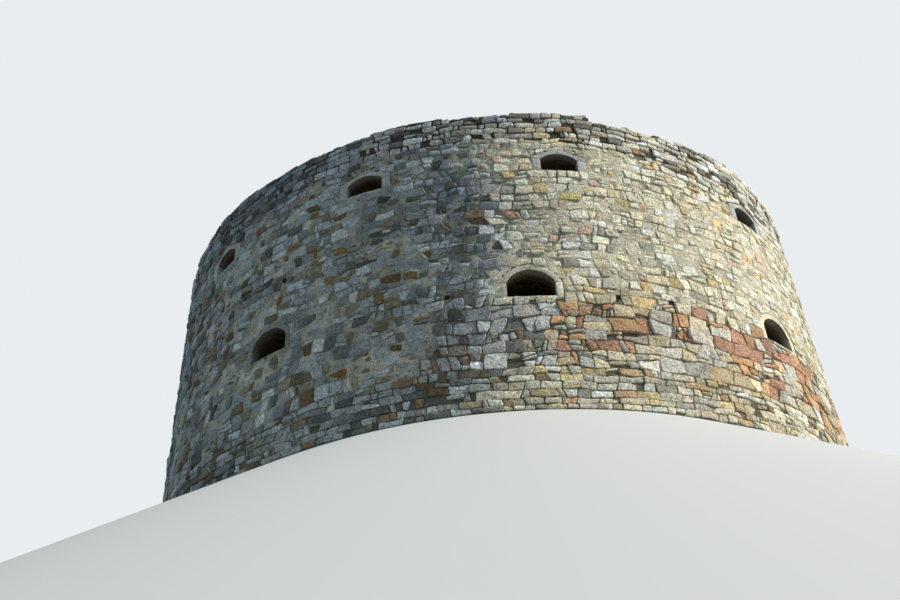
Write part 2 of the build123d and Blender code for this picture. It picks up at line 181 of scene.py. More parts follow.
@dataclass(frozen=True)
class Palette:
    """The colours that one kind of masonry is mixed from."""

    shares: tuple[tuple[float, str], ...]
    spread: float = 0.12
    warmth: float = 0.04
    palest: float = 0.86

    def pick(self, rng: random.Random) -> Colour:
        """Picks one stone's colour.

        Args:
            rng: source of chance.

        Returns:
            The colour, no paler than the palest.
        """
        code = rng.choices([c for _, c in self.shares], [w for w, _ in self.shares])[0]
        value = 1 + rng.uniform(-self.spread, self.spread)
        warm = rng.uniform(-self.warmth, self.warmth)
        red, green, blue = colour(code)
        mixed = (red * value * (1 + warm), green * value, blue * value * (1 - warm))
        return tuple(min(self.palest, channel) for channel in mixed)


@dataclass(frozen=True)
class Bond:
    """How the stones of one kind of masonry are cut and laid, in metres.

    The split is the share of blocks that are cut up, and the skew how far the two ends of a cut differ, as a
    share of the side. The stray is how far a corner wanders with the place, and the rough how far it wanders
    by chance.
    """

    palette: Palette
    length: float = 0.5
    length_spread: float = 0.4
    split: float = 0.42
    skew: float = 0.3
    stray: float = 0.12
    joint: float = 0.036
    proud: float = 0.042
    proud_spread: float = 0.022
    bevel: float = 0.018
    dome: float = 0.01
    tilt: float = 0.12
    corner: float = 0.03
    rough: float = 0.014

    def stand(self, rng: random.Random) -> float:
        """Returns how far one stone's face stands off the surface."""
        return self.proud + rng.uniform(-1, 1) * self.proud_spread


class Masonry(Enum):
    """The kinds of masonry on the tower."""

    HEAD = "squared blocks with open joints"
    # The warm pale kinds lie on the half that the key lamp lights and the grey kinds on the half turned from
    # it: lit and shaded copies, their colours partly the stones' own and partly painted light and shade.
    POINTED = "rubble under flush pointing, warm and pale"
    SHADE_SIDE_GREY_POINTED = "rubble under flush pointing, slate grey"
    RUBBLE = "open rubble, much of it rusty"
    GREY_RUBBLE = "open rubble, mostly grey"
    FOOT = "thin flat courses, warm and pale"
    SHADE_SIDE_GREY_FOOT = "thin flat courses, slate grey"
    INNER = "inner rubble"
    CREST = "loose top stones"
    FLAGS = "paving"


def pointed(joint: float, palette: Palette) -> Bond:
    """Returns the bond of rubble under flush pointing."""
    return Bond(palette, length=0.46, length_spread=0.45, stray=0.13, joint=joint, corner=0.028, rough=0.016)


def open_rubble(length: float, palette: Palette) -> Bond:
    """Returns the bond of open rubble."""
    return Bond(
        palette, length=length, skew=0.34, stray=0.145, proud_spread=0.026, bevel=0.02, dome=0.012, tilt=0.14
    )


def thin_courses(palette: Palette) -> Bond:
    """Returns the bond of the thin courses at the foot."""
    return Bond(
        palette, length_spread=0.5, split=0.3, stray=0.08, joint=0.03, proud=0.04, bevel=0.014, dome=0.008,
        tilt=0.1, corner=0.025, rough=0.01,
    )


BONDS = {
    Masonry.HEAD: Bond(
        Palette((
            (5, "e6dfcd"), (4, "c8c2b2"), (3, "8f8b80"), (1.4, "d6c8a4"), (0.6, "b2957a"), (3.6, "f5f0e4"),
        ), 0.3),
        length_spread=0.45, split=0.24, skew=0.16, stray=0.09, joint=0.046, proud=0.05, proud_spread=0.026,
        bevel=0.016, tilt=0.1, rough=0.012,
    ),
    # Pointing and foot come as warm pale copies for the lit half and darker grey copies for the shaded half:
    # partly painted light and shade.
    Masonry.POINTED: pointed(0.042, Palette((
        (6, "ece3cb"), (4, "e0d7c0"), (3, "e6d9b9"), (3, "f2ecdb"), (0.9, "e0c693"), (0.7, "dcbfa6"),
        (0.8, "b3ac9b"),
    ), 0.17)),
    Masonry.SHADE_SIDE_GREY_POINTED: pointed(0.048, Palette((
        (7, "b9bebb"), (5, "a1a5a2"), (2.2, "cfd0c7"), (2.4, "9a8f76"), (1.5, "8b7250"), (2.4, "6c6f68"),
    ), 0.36)),
    Masonry.RUBBLE: open_rubble(0.64, Palette((
        (4, "d2be9d"), (3.6, "cda47c"), (2.6, "c3957d"), (3.7, "c8c1b1"), (2, "decfaf"), (2.1, "d6d0c3"),
    ), 0.26)),
    Masonry.GREY_RUBBLE: open_rubble(0.56, Palette((
        (6, "c4c2ba"), (4, "dbd9d0"), (2, "b9ac92"), (1.2, "ab8e76"), (2.2, "838078"),
    ), 0.34)),
    Masonry.FOOT: thin_courses(Palette((
        (4, "ded2b6"), (3, "d7c499"), (1, "bc9e7f"), (3, "c6c0ae"), (3, "eee5cd"),
    ), 0.32)),
    Masonry.SHADE_SIDE_GREY_FOOT: thin_courses(Palette((
        (5, "b9bcb7"), (4, "9fa29c"), (3, "d2d0c4"), (2, "a59b80"), (1, "8a7459"), (2, "777a74"),
    ), 0.36)),
    Masonry.INNER: Bond(
        Palette(((4, "b8b09d"), (3, "bbac89"), (2, "9f9b91"), (1, "a68a6a")), 0.2),
        length=0.56, joint=0.034, proud=0.035, proud_spread=0.014, dome=0.008, tilt=0.06, corner=0.035,
        rough=0.01,
    ),
    Masonry.CREST: Bond(
        Palette(((4, "b0aca0"), (3, "9d998e"), (2, "b6ac8f"), (1, "92836f")), 0.22),
        length=0.46, split=0.3, skew=0.4, joint=0.035, proud=0.055, proud_spread=0.05, bevel=0.02, dome=0.012,
        tilt=0.14, corner=0.04,
    ),
    Masonry.FLAGS: Bond(
        Palette(((4, "b2ac9e"), (3, "a39e93"), (2, "b8ae97"), (1, "958f84")), 0.16),
        length=0.7, length_spread=0.35, split=0.16, skew=0.0, stray=0.05, joint=0.02, proud=0.03,
        proud_spread=0.006, bevel=0.01, dome=0.002, tilt=0.012, rough=0.006,
    ),
}


def smooth(low: float, high: float, value: float) -> float:
    """Returns 0 below low, 1 above high and a smooth blend between them."""
    t = min(1.0, max(0.0, (value - low) / (high - low)))
    return t * t * (3 - 2 * t)


@dataclass(frozen=True)
class Waves:
    """Smooth noise over the wall that meets itself all the way round, with its waves a metre and its seed."""

    strength: float
    scale: float
    seed: float

    def at(self, azimuth: float, level: float = 0.0) -> float:
        """Returns the noise at a place, between minus its strength and its strength."""
        spot = Vector(around(math.radians(azimuth), PATTERN_RADIUS, level))
        return self.strength * noise.noise(spot * self.scale + Vector((self.seed, *PATTERN_OFFSET)))


@dataclass(frozen=True)
class MasonryPlan:
    """Where each kind of masonry is on the outer face, in degrees from the front and metres over the foot."""

    lowest_pointing: float = 1.3
    open_rubble: float = 2.45
    open_from: Point = (-14.0, 2.0)
    open_to: Point = (75.0, 100.0)
    open_rear: Point = (150.0, 175.0)
    head_depth: float = 1.15
    head_deeper: float = 0.75
    deeper_from: Point = (5.0, 45.0)
    deeper_to: Point = (100.0, 160.0)
    thin_courses: float = 1.35
    rusty_from: float = 9.0
    ragged: float = 0.35
    ragged_behind: float = 0.2
    pointing_waves: tuple[Waves, ...] = (Waves(0.16, 0.7, 2.0), Waves(0.07, 2.3, 5.0))
    head_waves: Waves = Waves(0.14, 0.6, 11.0)
    course_waves: Waves = Waves(0.12, 1.1, 8.0)
    shade_side_waves: Waves = Waves(1.0, 0.5, 47.0)
    rusty_waves: Waves = Waves(6.0, 0.6, 41.0)

    def foot_of_pointing(self, azimuth: float) -> float:
        """Finds where the flush pointing ends and the open rubble begins.

        Args:
            azimuth: degrees from the front.

        Returns:
            The level, in metres over the foot.
        """
        turned = short_way(azimuth)
        seen = smooth(*self.open_from, turned) * (1 - smooth(*self.open_to, turned))
        back = smooth(*self.open_rear, abs(turned))
        level = self.lowest_pointing + self.open_rubble * max(seen, back)
        return sum((waves.at(azimuth) for waves in self.pointing_waves), level)

    def foot_of_head(self, azimuth: float) -> float:
        """Finds where the squared blocks of the wall head begin.

        Args:
            azimuth: degrees from the front.

        Returns:
            The level, in metres over the foot.
        """
        turned = short_way(azimuth)
        deeper = self.head_deeper * smooth(*self.deeper_from, turned) * (1 - smooth(*self.deeper_to, turned))
        depth = self.head_depth + deeper
        return TOWER.height - depth + self.head_waves.at(azimuth)

    def kind(self, azimuth: float, level: float) -> Masonry:
        """Names the kind of masonry at a place on the outer face.

        Args:
            azimuth: degrees from the front.
            level: metres over the foot.

        Returns:
            The kind.
        """
        if level > self.foot_of_head(azimuth):
            return Masonry.HEAD
        # The grey kinds stand where the face turns from the key lamp: painted shade in part.
        a = math.radians(azimuth)
        ragged = self.ragged - self.ragged_behind * math.cos(a)
        grey = math.sin(a) + ragged * self.shade_side_waves.at(azimuth, level) < 0
        if level > self.foot_of_pointing(azimuth):
            return Masonry.SHADE_SIDE_GREY_POINTED if grey else Masonry.POINTED
        if level < self.thin_courses + self.course_waves.at(azimuth):
            return Masonry.SHADE_SIDE_GREY_FOOT if grey else Masonry.FOOT
        rusty = short_way(azimuth) + self.rusty_waves.at(azimuth, level) > self.rusty_from
        return Masonry.RUBBLE if rusty else Masonry.GREY_RUBBLE


PLAN = MasonryPlan()


@dataclass(frozen=True)
class DampAndShadePatch:
    """One dark patch on the outer face, or a paler one where its strength is negative; some patches are damp,
    others painted shade.
    """

    azimuth: float
    level: float
    wide: float
    high: float
    strength: float

    def at(self, azimuth: float, level: float) -> float:
        """Works out how dark the patch is at a place.

        Args:
            azimuth: degrees from the front.
            level: metres over the foot.

        Returns:
            From 0 to the patch's strength.
        """
        turned = short_way(azimuth - self.azimuth)
        reach = (turned / self.wide) ** 2 + ((level - self.level) / self.high) ** 2
        return self.strength * math.exp(-reach)


@dataclass(frozen=True)
class WeatherAndShade:
    """What the weather has done to the outer face, with painted shade mixed in: its patches darken the colour
    and turn it bluer, some for damp and some as painted shade.
    """

    damp_and_shade_patches: tuple[DampAndShadePatch, ...]
    darkest: float = 0.35
    bluest: float = 0.5
    red_lost: float = 0.1
    blue_gained: float = 0.25
    patches: tuple[Waves, ...] = (Waves(0.09, 0.35, 21.0), Waves(0.05, 1.3, 23.0))

    def wear(self, azimuth: float, level: float) -> tuple[float, float]:
        """Works out how the face has worn at a place, and how much painted shade lies on it.

        Args:
            azimuth: degrees from the front.
            level: metres over the foot.

        Returns:
            How much of its lightness the damp and the painted shade leave, and how blue it has turned.
        """
        dark = sum(stain.at(azimuth, level) for stain in self.damp_and_shade_patches)
        patchy = sum(waves.at(azimuth, level) for waves in self.patches)
        return max(self.darkest, 1 - dark + patchy), min(self.bluest, dark)

    def tinted(self, tint: Colour, azimuth: float, level: float) -> Colour:
        """Darkens a stone's colour and turns it bluer, by damp and by painted shade.

        Args:
            tint: the clean colour.
            azimuth: degrees from the front.
            level: metres over the foot.

        Returns:
            The colour as the damp and the painted shade leave it.
        """
        light, blue = self.wear(azimuth, level)
        grey = sum(tint) / 3
        mixed = [c + (grey - c) * blue for c in tint]
        warm, cool = 1 - self.red_lost * blue, 1 + self.blue_gained * blue
        return (mixed[0] * light * warm, mixed[1] * light, mixed[2] * light * cool)


# Painted shade among the patches: those round -4 degrees darken where the key lamp grazes the face, damp and
# painted shade together, and the broad ones at -38 and -72 degrees darken the side turned from the lamp.
WEATHER_AND_SHADE = WeatherAndShade((
    DampAndShadePatch(-4.0, 8.1, 6.0, 1.3, 0.42),
    DampAndShadePatch(-3.0, 5.0, 4.5, 2.6, 0.3),
    DampAndShadePatch(-6.0, 2.6, 5.0, 0.9, 0.3),
    DampAndShadePatch(7.0, 7.2, 5.0, 0.9, 0.12),
    DampAndShadePatch(-17.0, 7.9, 4.0, 0.7, 0.18),
    DampAndShadePatch(-38.0, 10.7, 28.0, 1.1, 0.6),
    DampAndShadePatch(5.0, 10.9, 12.0, 0.3, 0.3),
    DampAndShadePatch(108.0, 6.0, 32.0, 9.0, 0.2),
    DampAndShadePatch(-72.0, 6.5, 34.0, 9.0, 0.22),
    DampAndShadePatch(46.0, 8.0, 26.0, 5.0, -0.06),
))


# Surfaces that stones are laid on.


class Surface:
    """A surface that stones are laid on, unrolled to u along it and v across it."""

    length: float
    height: float
    closed: bool = True

    def place(self, u: float, v: float, out: float) -> Place:
        """Returns the place in space of a point of the unrolled surface, out metres off it."""
        raise NotImplementedError

    def azimuth(self, u: float, v: float) -> float:
        """Returns the azimuth of a point of the unrolled surface."""
        return math.degrees(u / self.length * math.tau)

    def along(self, azimuth: float) -> float:
        """Returns how far along the surface an azimuth is."""
        return (azimuth % 360) / 360 * self.length

    def trimmed(self, outline: Outline, centre: Point, gap: float) -> Outline:
        """Returns an outline as any edge of the surface leaves it, apart from its foot and its top."""
        return outline

    def turns(self, u: float, near: float) -> float:
        """Returns how far whole turns of a closed surface carry a point, to bring it nearest to another."""
        return round((near - u) / self.length) * self.length if self.closed else 0.0


@dataclass
class OuterFace(Surface):
    """The battered outer face."""

    mean_radius: ClassVar[float] = 11.8
    length: float = math.tau * mean_radius
    height: float = TOWER.height

    def place(self, u: float, v: float, out: float) -> Place:
        """Returns the place of a point of the unrolled face, out metres off it."""
        return around(u / self.length * math.tau, TOWER.outer_radius(v) + out, v)


@dataclass
class InnerFace(Surface):
    """A round inner face, seen from inside."""

    radius: float
    floor: float
    height: float

    def __post_init__(self) -> None:
        """Works out how long the face is."""
        self.length = math.tau * self.radius

    def place(self, u: float, v: float, out: float) -> Place:
        """Returns the place of a point of the unrolled face, out metres off it."""
        return around(-u / self.radius, self.radius - out, self.floor + v)

    def azimuth(self, u: float, v: float) -> float:
        """Returns the azimuth of a point of the unrolled face."""
        return -math.degrees(u / self.radius)


@dataclass
class WallTop(Surface):
    """The broken wall head, seen from above."""

    height: float = TOWER.rim_radius - TOWER.platform_radius
    mean_radius: ClassVar[float] = 10.4
    length: float = math.tau * mean_radius

    def place(self, u: float, v: float, out: float) -> Place:
        """Returns the place of a point of the unrolled top, out metres over it."""
        a = u / self.length * math.tau
        return around(a, TOWER.rim_radius - v, TOWER.head_level(math.degrees(a)) + out)


@dataclass
class Floor(Surface):
    """A round paved floor, with its corner at the lowest x and y."""

    radius: float
    level: float
    closed: bool = False

    def __post_init__(self) -> None:
        """Works out the size of the square round the floor."""
        self.length = 2 * self.radius
        self.height = 2 * self.radius

    def place(self, u: float, v: float, out: float) -> Place:
        """Returns the place of a point of the floor, out metres over it."""
        return (u - self.radius, v - self.radius, self.level + out)

    def azimuth(self, u: float, v: float) -> float:
        """Returns the azimuth of a point of the floor."""
        return math.degrees(math.atan2(u - self.radius, self.radius - v))

    def trimmed(self, outline: Outline, centre: Point, gap: float) -> Outline:
        """Cuts an outline along the floor's round edge.

        Args:
            outline: a flag's corners.
            centre: its middle.
            gap: how far it stays from the edge.

        Returns:
            What is left of it, or nothing.
        """
        x, y = centre[0] - self.radius, centre[1] - self.radius
        size = math.hypot(x, y) or 1.0
        nx, ny = x / size, y / size
        return clip(outline, nx, ny, self.radius - gap + nx * self.radius + ny * self.radius)


@dataclass(frozen=True)
class Landmark:
    """One stone that stands out of the face, by where it is and its colour."""

    azimuth: float
    level: float
    code: str

    def lies_in(self, outline: Outline, surface: Surface) -> bool:
        """Tells whether the stone's middle lies in an outline.

        Args:
            outline: corners on the unrolled surface, anticlockwise.
            surface: the surface that they are on.

        Returns:
            True where it does.
        """
        u = self.azimuth / 360 * surface.length
        u += surface.turns(u, outline[0][0])
        return all(
            (bx - ax) * (self.level - ay) - (by - ay) * (u - ax) > 0 for (ax, ay), (bx, by) in sides(outline)
        )


LANDMARKS = (
    Landmark(-21.3, 6.74, "a07d50"), Landmark(-25.7, 6.7, "987449"), Landmark(5.0, 6.74, "cc9f86"),
    Landmark(14.3, 7.7, "dcc587"), Landmark(21.5, 7.74, "dcc78d"), Landmark(25.1, 7.45, "d3a886"),
    Landmark(-20.5, 1.97, "8f6e48"), Landmark(-0.2, 1.93, "a07f5a"), Landmark(-8.3, 1.62, "866355"),
    Landmark(20.7, 3.02, "bb9270"), Landmark(13.9, 3.3, "b49272"),
)


# Laying stones.


def sides(outline: Sequence[Point]) -> Iterable[tuple[Point, Point]]:
    """Returns the two ends of each side of an outline."""
    return zip(outline, [*outline[1:], *outline[:1]])


def normal(start: Point, end: Point) -> Point:
    """Returns the unit normal of a side, which points out of an anticlockwise outline."""
    size = math.hypot(end[0] - start[0], end[1] - start[1])
    return ((end[1] - start[1]) / size, (start[0] - end[0]) / size)


def rectangle(u: float, v: float, wide: float, high: float) -> Outline:
    """Returns the corners of a rectangle about a point, half as wide and half as high as it is."""
    return [(u - wide, v - high), (u + wide, v - high), (u + wide, v + high), (u - wide, v + high)]


def clip(outline: Outline, nx: float, ny: float, limit: float) -> Outline:
    """Cuts a convex outline along a line, and keeps the part where nx * x + ny * y is under a limit.

    Args:
        outline: the corners, in order.
        nx: the line's normal along the surface.
        ny: the line's normal across it.
        limit: where the line is.

    Returns:
        The corners that are left, or none.
    """
    kept: Outline = []
    if not outline:
        return kept
    px, py = outline[-1]
    before = nx * px + ny * py - limit
    for x, y in outline:
        after = nx * x + ny * y - limit
        if (after < 0) != (before < 0):
            t = before / (before - after)
            kept.append((px + (x - px) * t, py + (y - py) * t))
        if after < 0:
            kept.append((x, y))
        px, py, before = x, y, after
    return kept


def between(start: Point, end: Point, share: float) -> Point:
    """Returns the point that lies a share of the way from a start to an end."""
    return (start[0] + (end[0] - start[0]) * share, start[1] + (end[1] - start[1]) * share)


def area(outline: Outline) -> float:
    """Returns an outline's area."""
    return 0.5 * sum(a[0] * b[1] - b[0] * a[1] for a, b in sides(outline))


def middle(outline: Outline) -> Point:
    """Returns the mean of an outline's points."""
    count = len(outline)
    return (sum(p[0] for p in outline) / count, sum(p[1] for p in outline) / count)


SHARPEST_MITRE = 0.8
BLUNT_CORNER = 0.45
LONGEST_CUT = 0.35


def inset(outline: Outline, gap: float) -> Outline:
    """Moves each side of an outline inwards.

    Args:
        outline: the corners, anticlockwise.
        gap: how far.

    Returns:
        The moved corners.
    """
    kept: Outline = []
    for (px, py), (x, y), (nx, ny) in zip(outline[-1:] + outline[:-1], outline, outline[1:] + outline[:1]):
        before, after = math.hypot(x - px, y - py) or 1.0, math.hypot(nx - x, ny - y) or 1.0
        tx = (py - y) / before + (y - ny) / after
        ty = (x - px) / before + (nx - x) / after
        size = max(SHARPEST_MITRE, tx * tx + ty * ty)
        kept.append((x + 2 * gap * tx / size, y + 2 * gap * ty / size))
    return kept


def rounded(outline: Outline, cut: float) -> Outline:
    """Cuts each sharp corner of an outline.

    Args:
        outline: the corners, anticlockwise.
        cut: how far from the corner the cut starts, at most.

    Returns:
        The new corners.
    """
    points: Outline = []
    count = len(outline)
    for i, (x, y) in enumerate(outline):
        (px, py), (nx, ny) = outline[i - 1], outline[(i + 1) % count]
        before, after = math.hypot(x - px, y - py), math.hypot(nx - x, ny - y)
        if min(before, after) < 1e-4:
            continue
        if (x - px) * (ny - y) - (y - py) * (nx - x) < BLUNT_CORNER * before * after:
            points.append((x, y))
            continue
        for ox, oy, size in ((px, py, before), (nx, ny, after)):
            step = min(cut, size * LONGEST_CUT) / size
            points.append((x + (ox - x) * step, y + (oy - y) * step))
    return points


@dataclass
class Cell:
    """One stone's outline on the unrolled surface, its joints already taken off."""

    outline: Outline
    bond: Bond


@dataclass
class Layout:
    """Lays out the stones of one surface.

    The stones stand in rough courses. A course is a row of blocks, some of them cut up into smaller stones,
    and their corners stray with the place, so that neighbours still fit.
    """

    surface: Surface
    kind_at: Callable[[float, float], Masonry]
    course: Callable[[float], float]
    seed: int
    sway: float = 0.16
    keep_outs: Sequence[Outline] = ()
    top: Optional[Callable[[float], float]] = None
    smallest: float = 0.03
    sliver: float = 0.005
    stride: float = 0.3
    near: float = 3.5
    spare: float = 0.04
    thinnest_course: float = 0.1
    course_shares: Point = (0.78, 1.22)
    long_block: float = 2.2
    low_block: float = 0.9
    cut_shares: Point = (0.3, 0.7)
    cut_ends: Point = (0.15, 0.85)
    joint_shares: Point = (0.35, 1.5)
    slow_waves: float = 0.4
    quick_waves: float = 2.1
    upward: float = 0.8

    def blocks(self, rng: random.Random) -> Iterator[tuple[Block, Bond]]:
        """Lays out the blocks, course by course.

        Args:
            rng: source of chance.

        Yields:
            Each stone's block, with its bond.
        """
        level = 0.0
        while level < self.surface.height - self.spare:
            high = self.course(level) * rng.uniform(*self.course_shares)
            if self.surface.height - level - high < self.thinnest_course:
                high = self.surface.height - level
            middle_v = level + high / 2
            ends = [0.0]
            while ends[-1] < self.surface.length:
                bond = BONDS[self.kind_at(ends[-1], middle_v)]
                ends.append(ends[-1] + bond.length * (1 + rng.uniform(-1, 1) * bond.length_spread))
            fit = self.surface.length / ends[-1]
            start = rng.uniform(0, 1) if self.surface.closed else 0.0
            leans = [rng.uniform(-0.5, 0.5) * high * BONDS[self.kind_at(end, middle_v)].skew for end in ends]
            leans[-1] = leans[0]
            joints = [(start + end * fit - lean, start + end * fit + lean) for end, lean in zip(ends, leans)]
            for (left, left_top), (right, right_top) in zip(joints, joints[1:]):
                block = ((left, level), (right, level), (right_top, level + high), (left_top, level + high))
                bond = BONDS[self.kind_at((left + right) / 2, middle_v)]
                for stone in self._cut_up(block, bond, rng):
                    yield stone, bond
            level += high

    def _cut_up(self, block: Block, bond: Bond, rng: random.Random) -> Iterator[Block]:
        """Cuts a block up into smaller stones, or leaves it whole.

        Args:
            block: its four corners, anticlockwise from the lower left.
            bond: how it is cut.
            rng: source of chance.

        Yields:
            The stones' own corners.
        """
        a, b, c, d = block
        wide = (b[0] - a[0] + c[0] - d[0]) / 2
        tall = (d[1] - a[1] + c[1] - b[1]) / 2
        if wide * tall < 2 * self.smallest or rng.random() > bond.split:
            yield block
            return
        upright = wide > self.long_block * tall or (wide > self.low_block * tall and rng.random() < 0.5)
        share = rng.uniform(*self.cut_shares)
        least, most = self.cut_ends
        other = min(most, max(least, share + rng.uniform(-bond.skew, bond.skew)))
        if upright:
            foot, head = between(a, b, share), between(d, c, other)
            halves = ((a, foot, head, d), (foot, b, c, head))
        else:
            left, right = between(a, d, share), between(b, c, other)
            halves = ((a, b, right, left), (left, right, c, d))
        for half in halves:
            yield from self._cut_up(half, bond, rng)

    def cells(self) -> list[Cell]:
        """Lays out the whole surface.

        Returns:
            The stones' outlines, in the order that they are laid.
        """
        rng = random.Random(self.seed)
        cells: list[Cell] = []
        for block, bond in self.blocks(rng):
            share = self.joint_shares[0] + self.joint_shares[1] * rng.random() ** 2
            outline = inset(self._outline(block, bond.stray), bond.joint / 2 * share)
            outline = self._inside(outline, bond.joint / 2)
            if len(outline) >= 3 and area(outline) > self.sliver:
                cells.append(Cell(outline, bond))
        return cells

    def _outline(self, block: Block, stray: float) -> Outline:
        """Lets a block's sides stray with the place.

        Args:
            block: its corners.
            stray: how far a corner strays.

        Returns:
            The outline, with more points on its long sides.
        """
        outline: Outline = []
        for start, end in sides(block):
            steps = max(1, round(math.dist(start, end) / self.stride))
            outline += [between(start, end, i / steps) for i in range(steps)]
        return [self._strayed(u, v, stray) for u, v in outline]

    def _strayed(self, u: float, v: float, stray: float) -> Point:
        """Lets a corner stray with the place, so that neighbours still fit.

        Args:
            u: how far along the surface.
            v: how far across it.
            stray: how far it strays.

        Returns:
            Where it ends up.
        """
        spot = Vector(self.surface.place(u, v, 0.0))
        slow = noise.noise_vector(spot * self.slow_waves + Vector((self.seed, 0.0, 0.0)))
        quick = noise.noise_vector(spot * self.quick_waves + Vector((0.0, self.seed, 0.0)))
        rise = stray * self.upward
        return (u + self.sway * slow.x + stray * quick.x, v + self.sway * slow.y + rise * quick.y)

    def _inside(self, outline: Outline, gap: float) -> Outline:
        """Clips an outline to the surface's edges and clear of its openings.

        Args:
            outline: a stone's corners.
            gap: how far it stays from them.

        Returns:
            What is left of it, or nothing.
        """
        centre = middle(outline)
        top = self.top(centre[0]) if self.top else self.surface.height - gap
        outline = self.surface.trimmed(clip(clip(outline, 0, -1, -gap), 0, 1, top), centre, gap)
        for hole in self.keep_outs:
            if len(outline) < 3:
                break
            along = middle(outline)[0]
            turns = self.surface.turns(hole[0][0], along)
            if abs(hole[0][0] + turns - along) < self.near:
                outline = self._clear_of(outline, [(x + turns, y) for x, y in hole], gap)
        return outline

    @staticmethod
    def _clear_of(outline: Outline, hole: Outline, gap: float) -> Outline:
        """Cuts off what reaches into a convex hole, along the side of it that the stone lies on.

        Args:
            outline: a stone's corners.
            hole: the hole's corners, anticlockwise.
            gap: how far it stays off.

        Returns:
            What is left of it, or nothing.
        """
        cx, cy = middle(outline)
        best: Optional[tuple[float, float, float, float]] = None
        for (ax, ay), end in sides(hole):
            nx, ny = normal((ax, ay), end)
            off = nx * (cx - ax) + ny * (cy - ay)
            reach = min(nx * (x - ax) + ny * (y - ay) for x, y in outline)
            if reach >= gap:
                return outline
            if best is None or off > best[0]:
                best = (off, nx, ny, nx * ax + ny * ay)
        off, nx, ny, base = best
        if off <= 0:
            return []
        return clip(outline, -nx, -ny, -(base + gap))


@dataclass(frozen=True)
class LaidStone:
    """One stone in its place: its outline on the unrolled surface, and how its face stands."""

    outline: Outline
    bond: Bond
    proud: float
    tint: Colour
    slope: Point
    place: Placing
    sunk: float
    shoulder: float = 0.8
    least_shoulder: float = 0.004
    least_face: float = 0.002

    def at(self, spot: Vector) -> Place:
        """Finds where a point of the flat model goes.

        Args:
            spot: its place on the unrolled surface, with z counting the rings from back to crown.

        Returns:
            Its place in space.
        """
        cx, cy = middle(self.outline)
        lift = (spot.x - cx) * self.slope[0] + (spot.y - cy) * self.slope[1]
        shoulder = max(self.least_shoulder, self.proud - self.bond.bevel * self.shoulder)
        face = max(self.least_face, self.proud + lift)
        rings = (-self.sunk, max(0.0, shoulder + lift), face, self.proud + self.bond.dome)
        return self.place(spot.x, max(0.0, spot.y), rings[min(3, max(0, round(spot.z)))])


@dataclass
class Stonework:
    """Models the stones of one piece flat on the unrolled surface, then wraps them on to it."""

    name: str
    bevel: float = 0.018
    least_face: float = 0.25
    stones: list[LaidStone] = field(default_factory=list)

    def lay(
        self, outline: Outline, place: Placing, bond: Bond, proud: float, tint: Colour, rng: random.Random,
        sunk: float = 0.02,
    ) -> None:
        """Lays one stone.

        Args:
            outline: its outline on the unrolled surface, anticlockwise.
            place: puts a point of the unrolled surface, and its height off it, in space.
            bond: how it is cut.
            proud: how far its face stands off the surface.
            tint: its colour.
            rng: source of chance.
            sunk: how far its back lies behind the surface.
        """
        rough = bond.rough
        outline = rounded(outline, bond.corner)
        outline = [(x + rng.uniform(-rough, rough), y + rng.uniform(-rough, rough)) for x, y in outline]
        slope = (rng.uniform(-bond.tilt, bond.tilt), rng.uniform(-bond.tilt, bond.tilt))
        if len(outline) < 3:
            return
        if area(inset(outline, self.bevel)) > self.least_face * area(outline) > 0.0:
            self.stones.append(LaidStone(outline, bond, proud, tint, slope, place, sunk))

    def build(self, material: bpy.types.Material, slot: str) -> bpy.types.Object:
        """Makes the object: each stone a closed block with bevelled arrises and a crowned face.

        Args:
            material: its finish.
            slot: the record's material slot that it goes with.

        Returns:
            The new object, riding on the tower.
        """
        bm = bmesh.new()
        tint = bm.verts.layers.float_color.new("tint")
        owner = bm.verts.layers.int.new("owner")
        for number, stone in enumerate(self.stones):
            corners = [bm.verts.new((x, y, 0.0)) for x, y in stone.outline]
            for vert in corners:
                vert[tint] = (*stone.tint, 1.0)
                vert[owner] = number
            bm.faces.new(corners)
        raised = bmesh.ops.extrude_face_region(bm, geom=bm.faces[:])["geom"]
        fronts = [item for item in raised if isinstance(item, bmesh.types.BMFace)]
        bmesh.ops.translate(bm, vec=(0, 0, 1), verts=[v for v in raised if isinstance(v, bmesh.types.BMVert)])
        bmesh.ops.inset_individual(bm, faces=fronts, thickness=self.bevel, depth=1.0, use_even_offset=False)
        crowns = bmesh.ops.poke(bm, faces=fronts, offset=1.0)["verts"]
        for crown in crowns:
            beside = crown.link_edges[0].other_vert(crown)
            crown[tint], crown[owner] = beside[tint], beside[owner]
        for vert in bm.verts:
            vert.co = self.stones[vert[owner]].at(vert.co)
        bm.verts.layers.int.remove(owner)
        return carried(mesh_of(self.name, bm), material, slot)


def mesh_of(name: str, bm: bmesh.types.BMesh) -> bpy.types.Mesh:
    """Makes a mesh of a bmesh, and frees the bmesh.

    Args:
        name: the mesh's name.
        bm: the bmesh.

    Returns:
        The mesh.
    """
    mesh = bpy.data.meshes.new(name)
    bm.to_mesh(mesh)
    bm.free()
    return mesh


def carried(mesh: bpy.types.Mesh, material: bpy.types.Material, slot: str) -> bpy.types.Object:
    """Makes an object of a mesh and lets it ride on the tower.

    Args:
        mesh: the mesh, named and already in place.
        material: its finish.
        slot: the record's material slot that it goes with; not used.

    Returns:
        The new object.
    """
    piece = bpy.data.objects.new(mesh.name, mesh)
    bpy.context.scene.collection.objects.link(piece)
    mesh.materials.append(material)
    LOG.info("%s: %d triangles", mesh.name, sum(len(face.vertices) - 2 for face in mesh.polygons))
    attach(piece, "root")
    return piece


# Finishes.


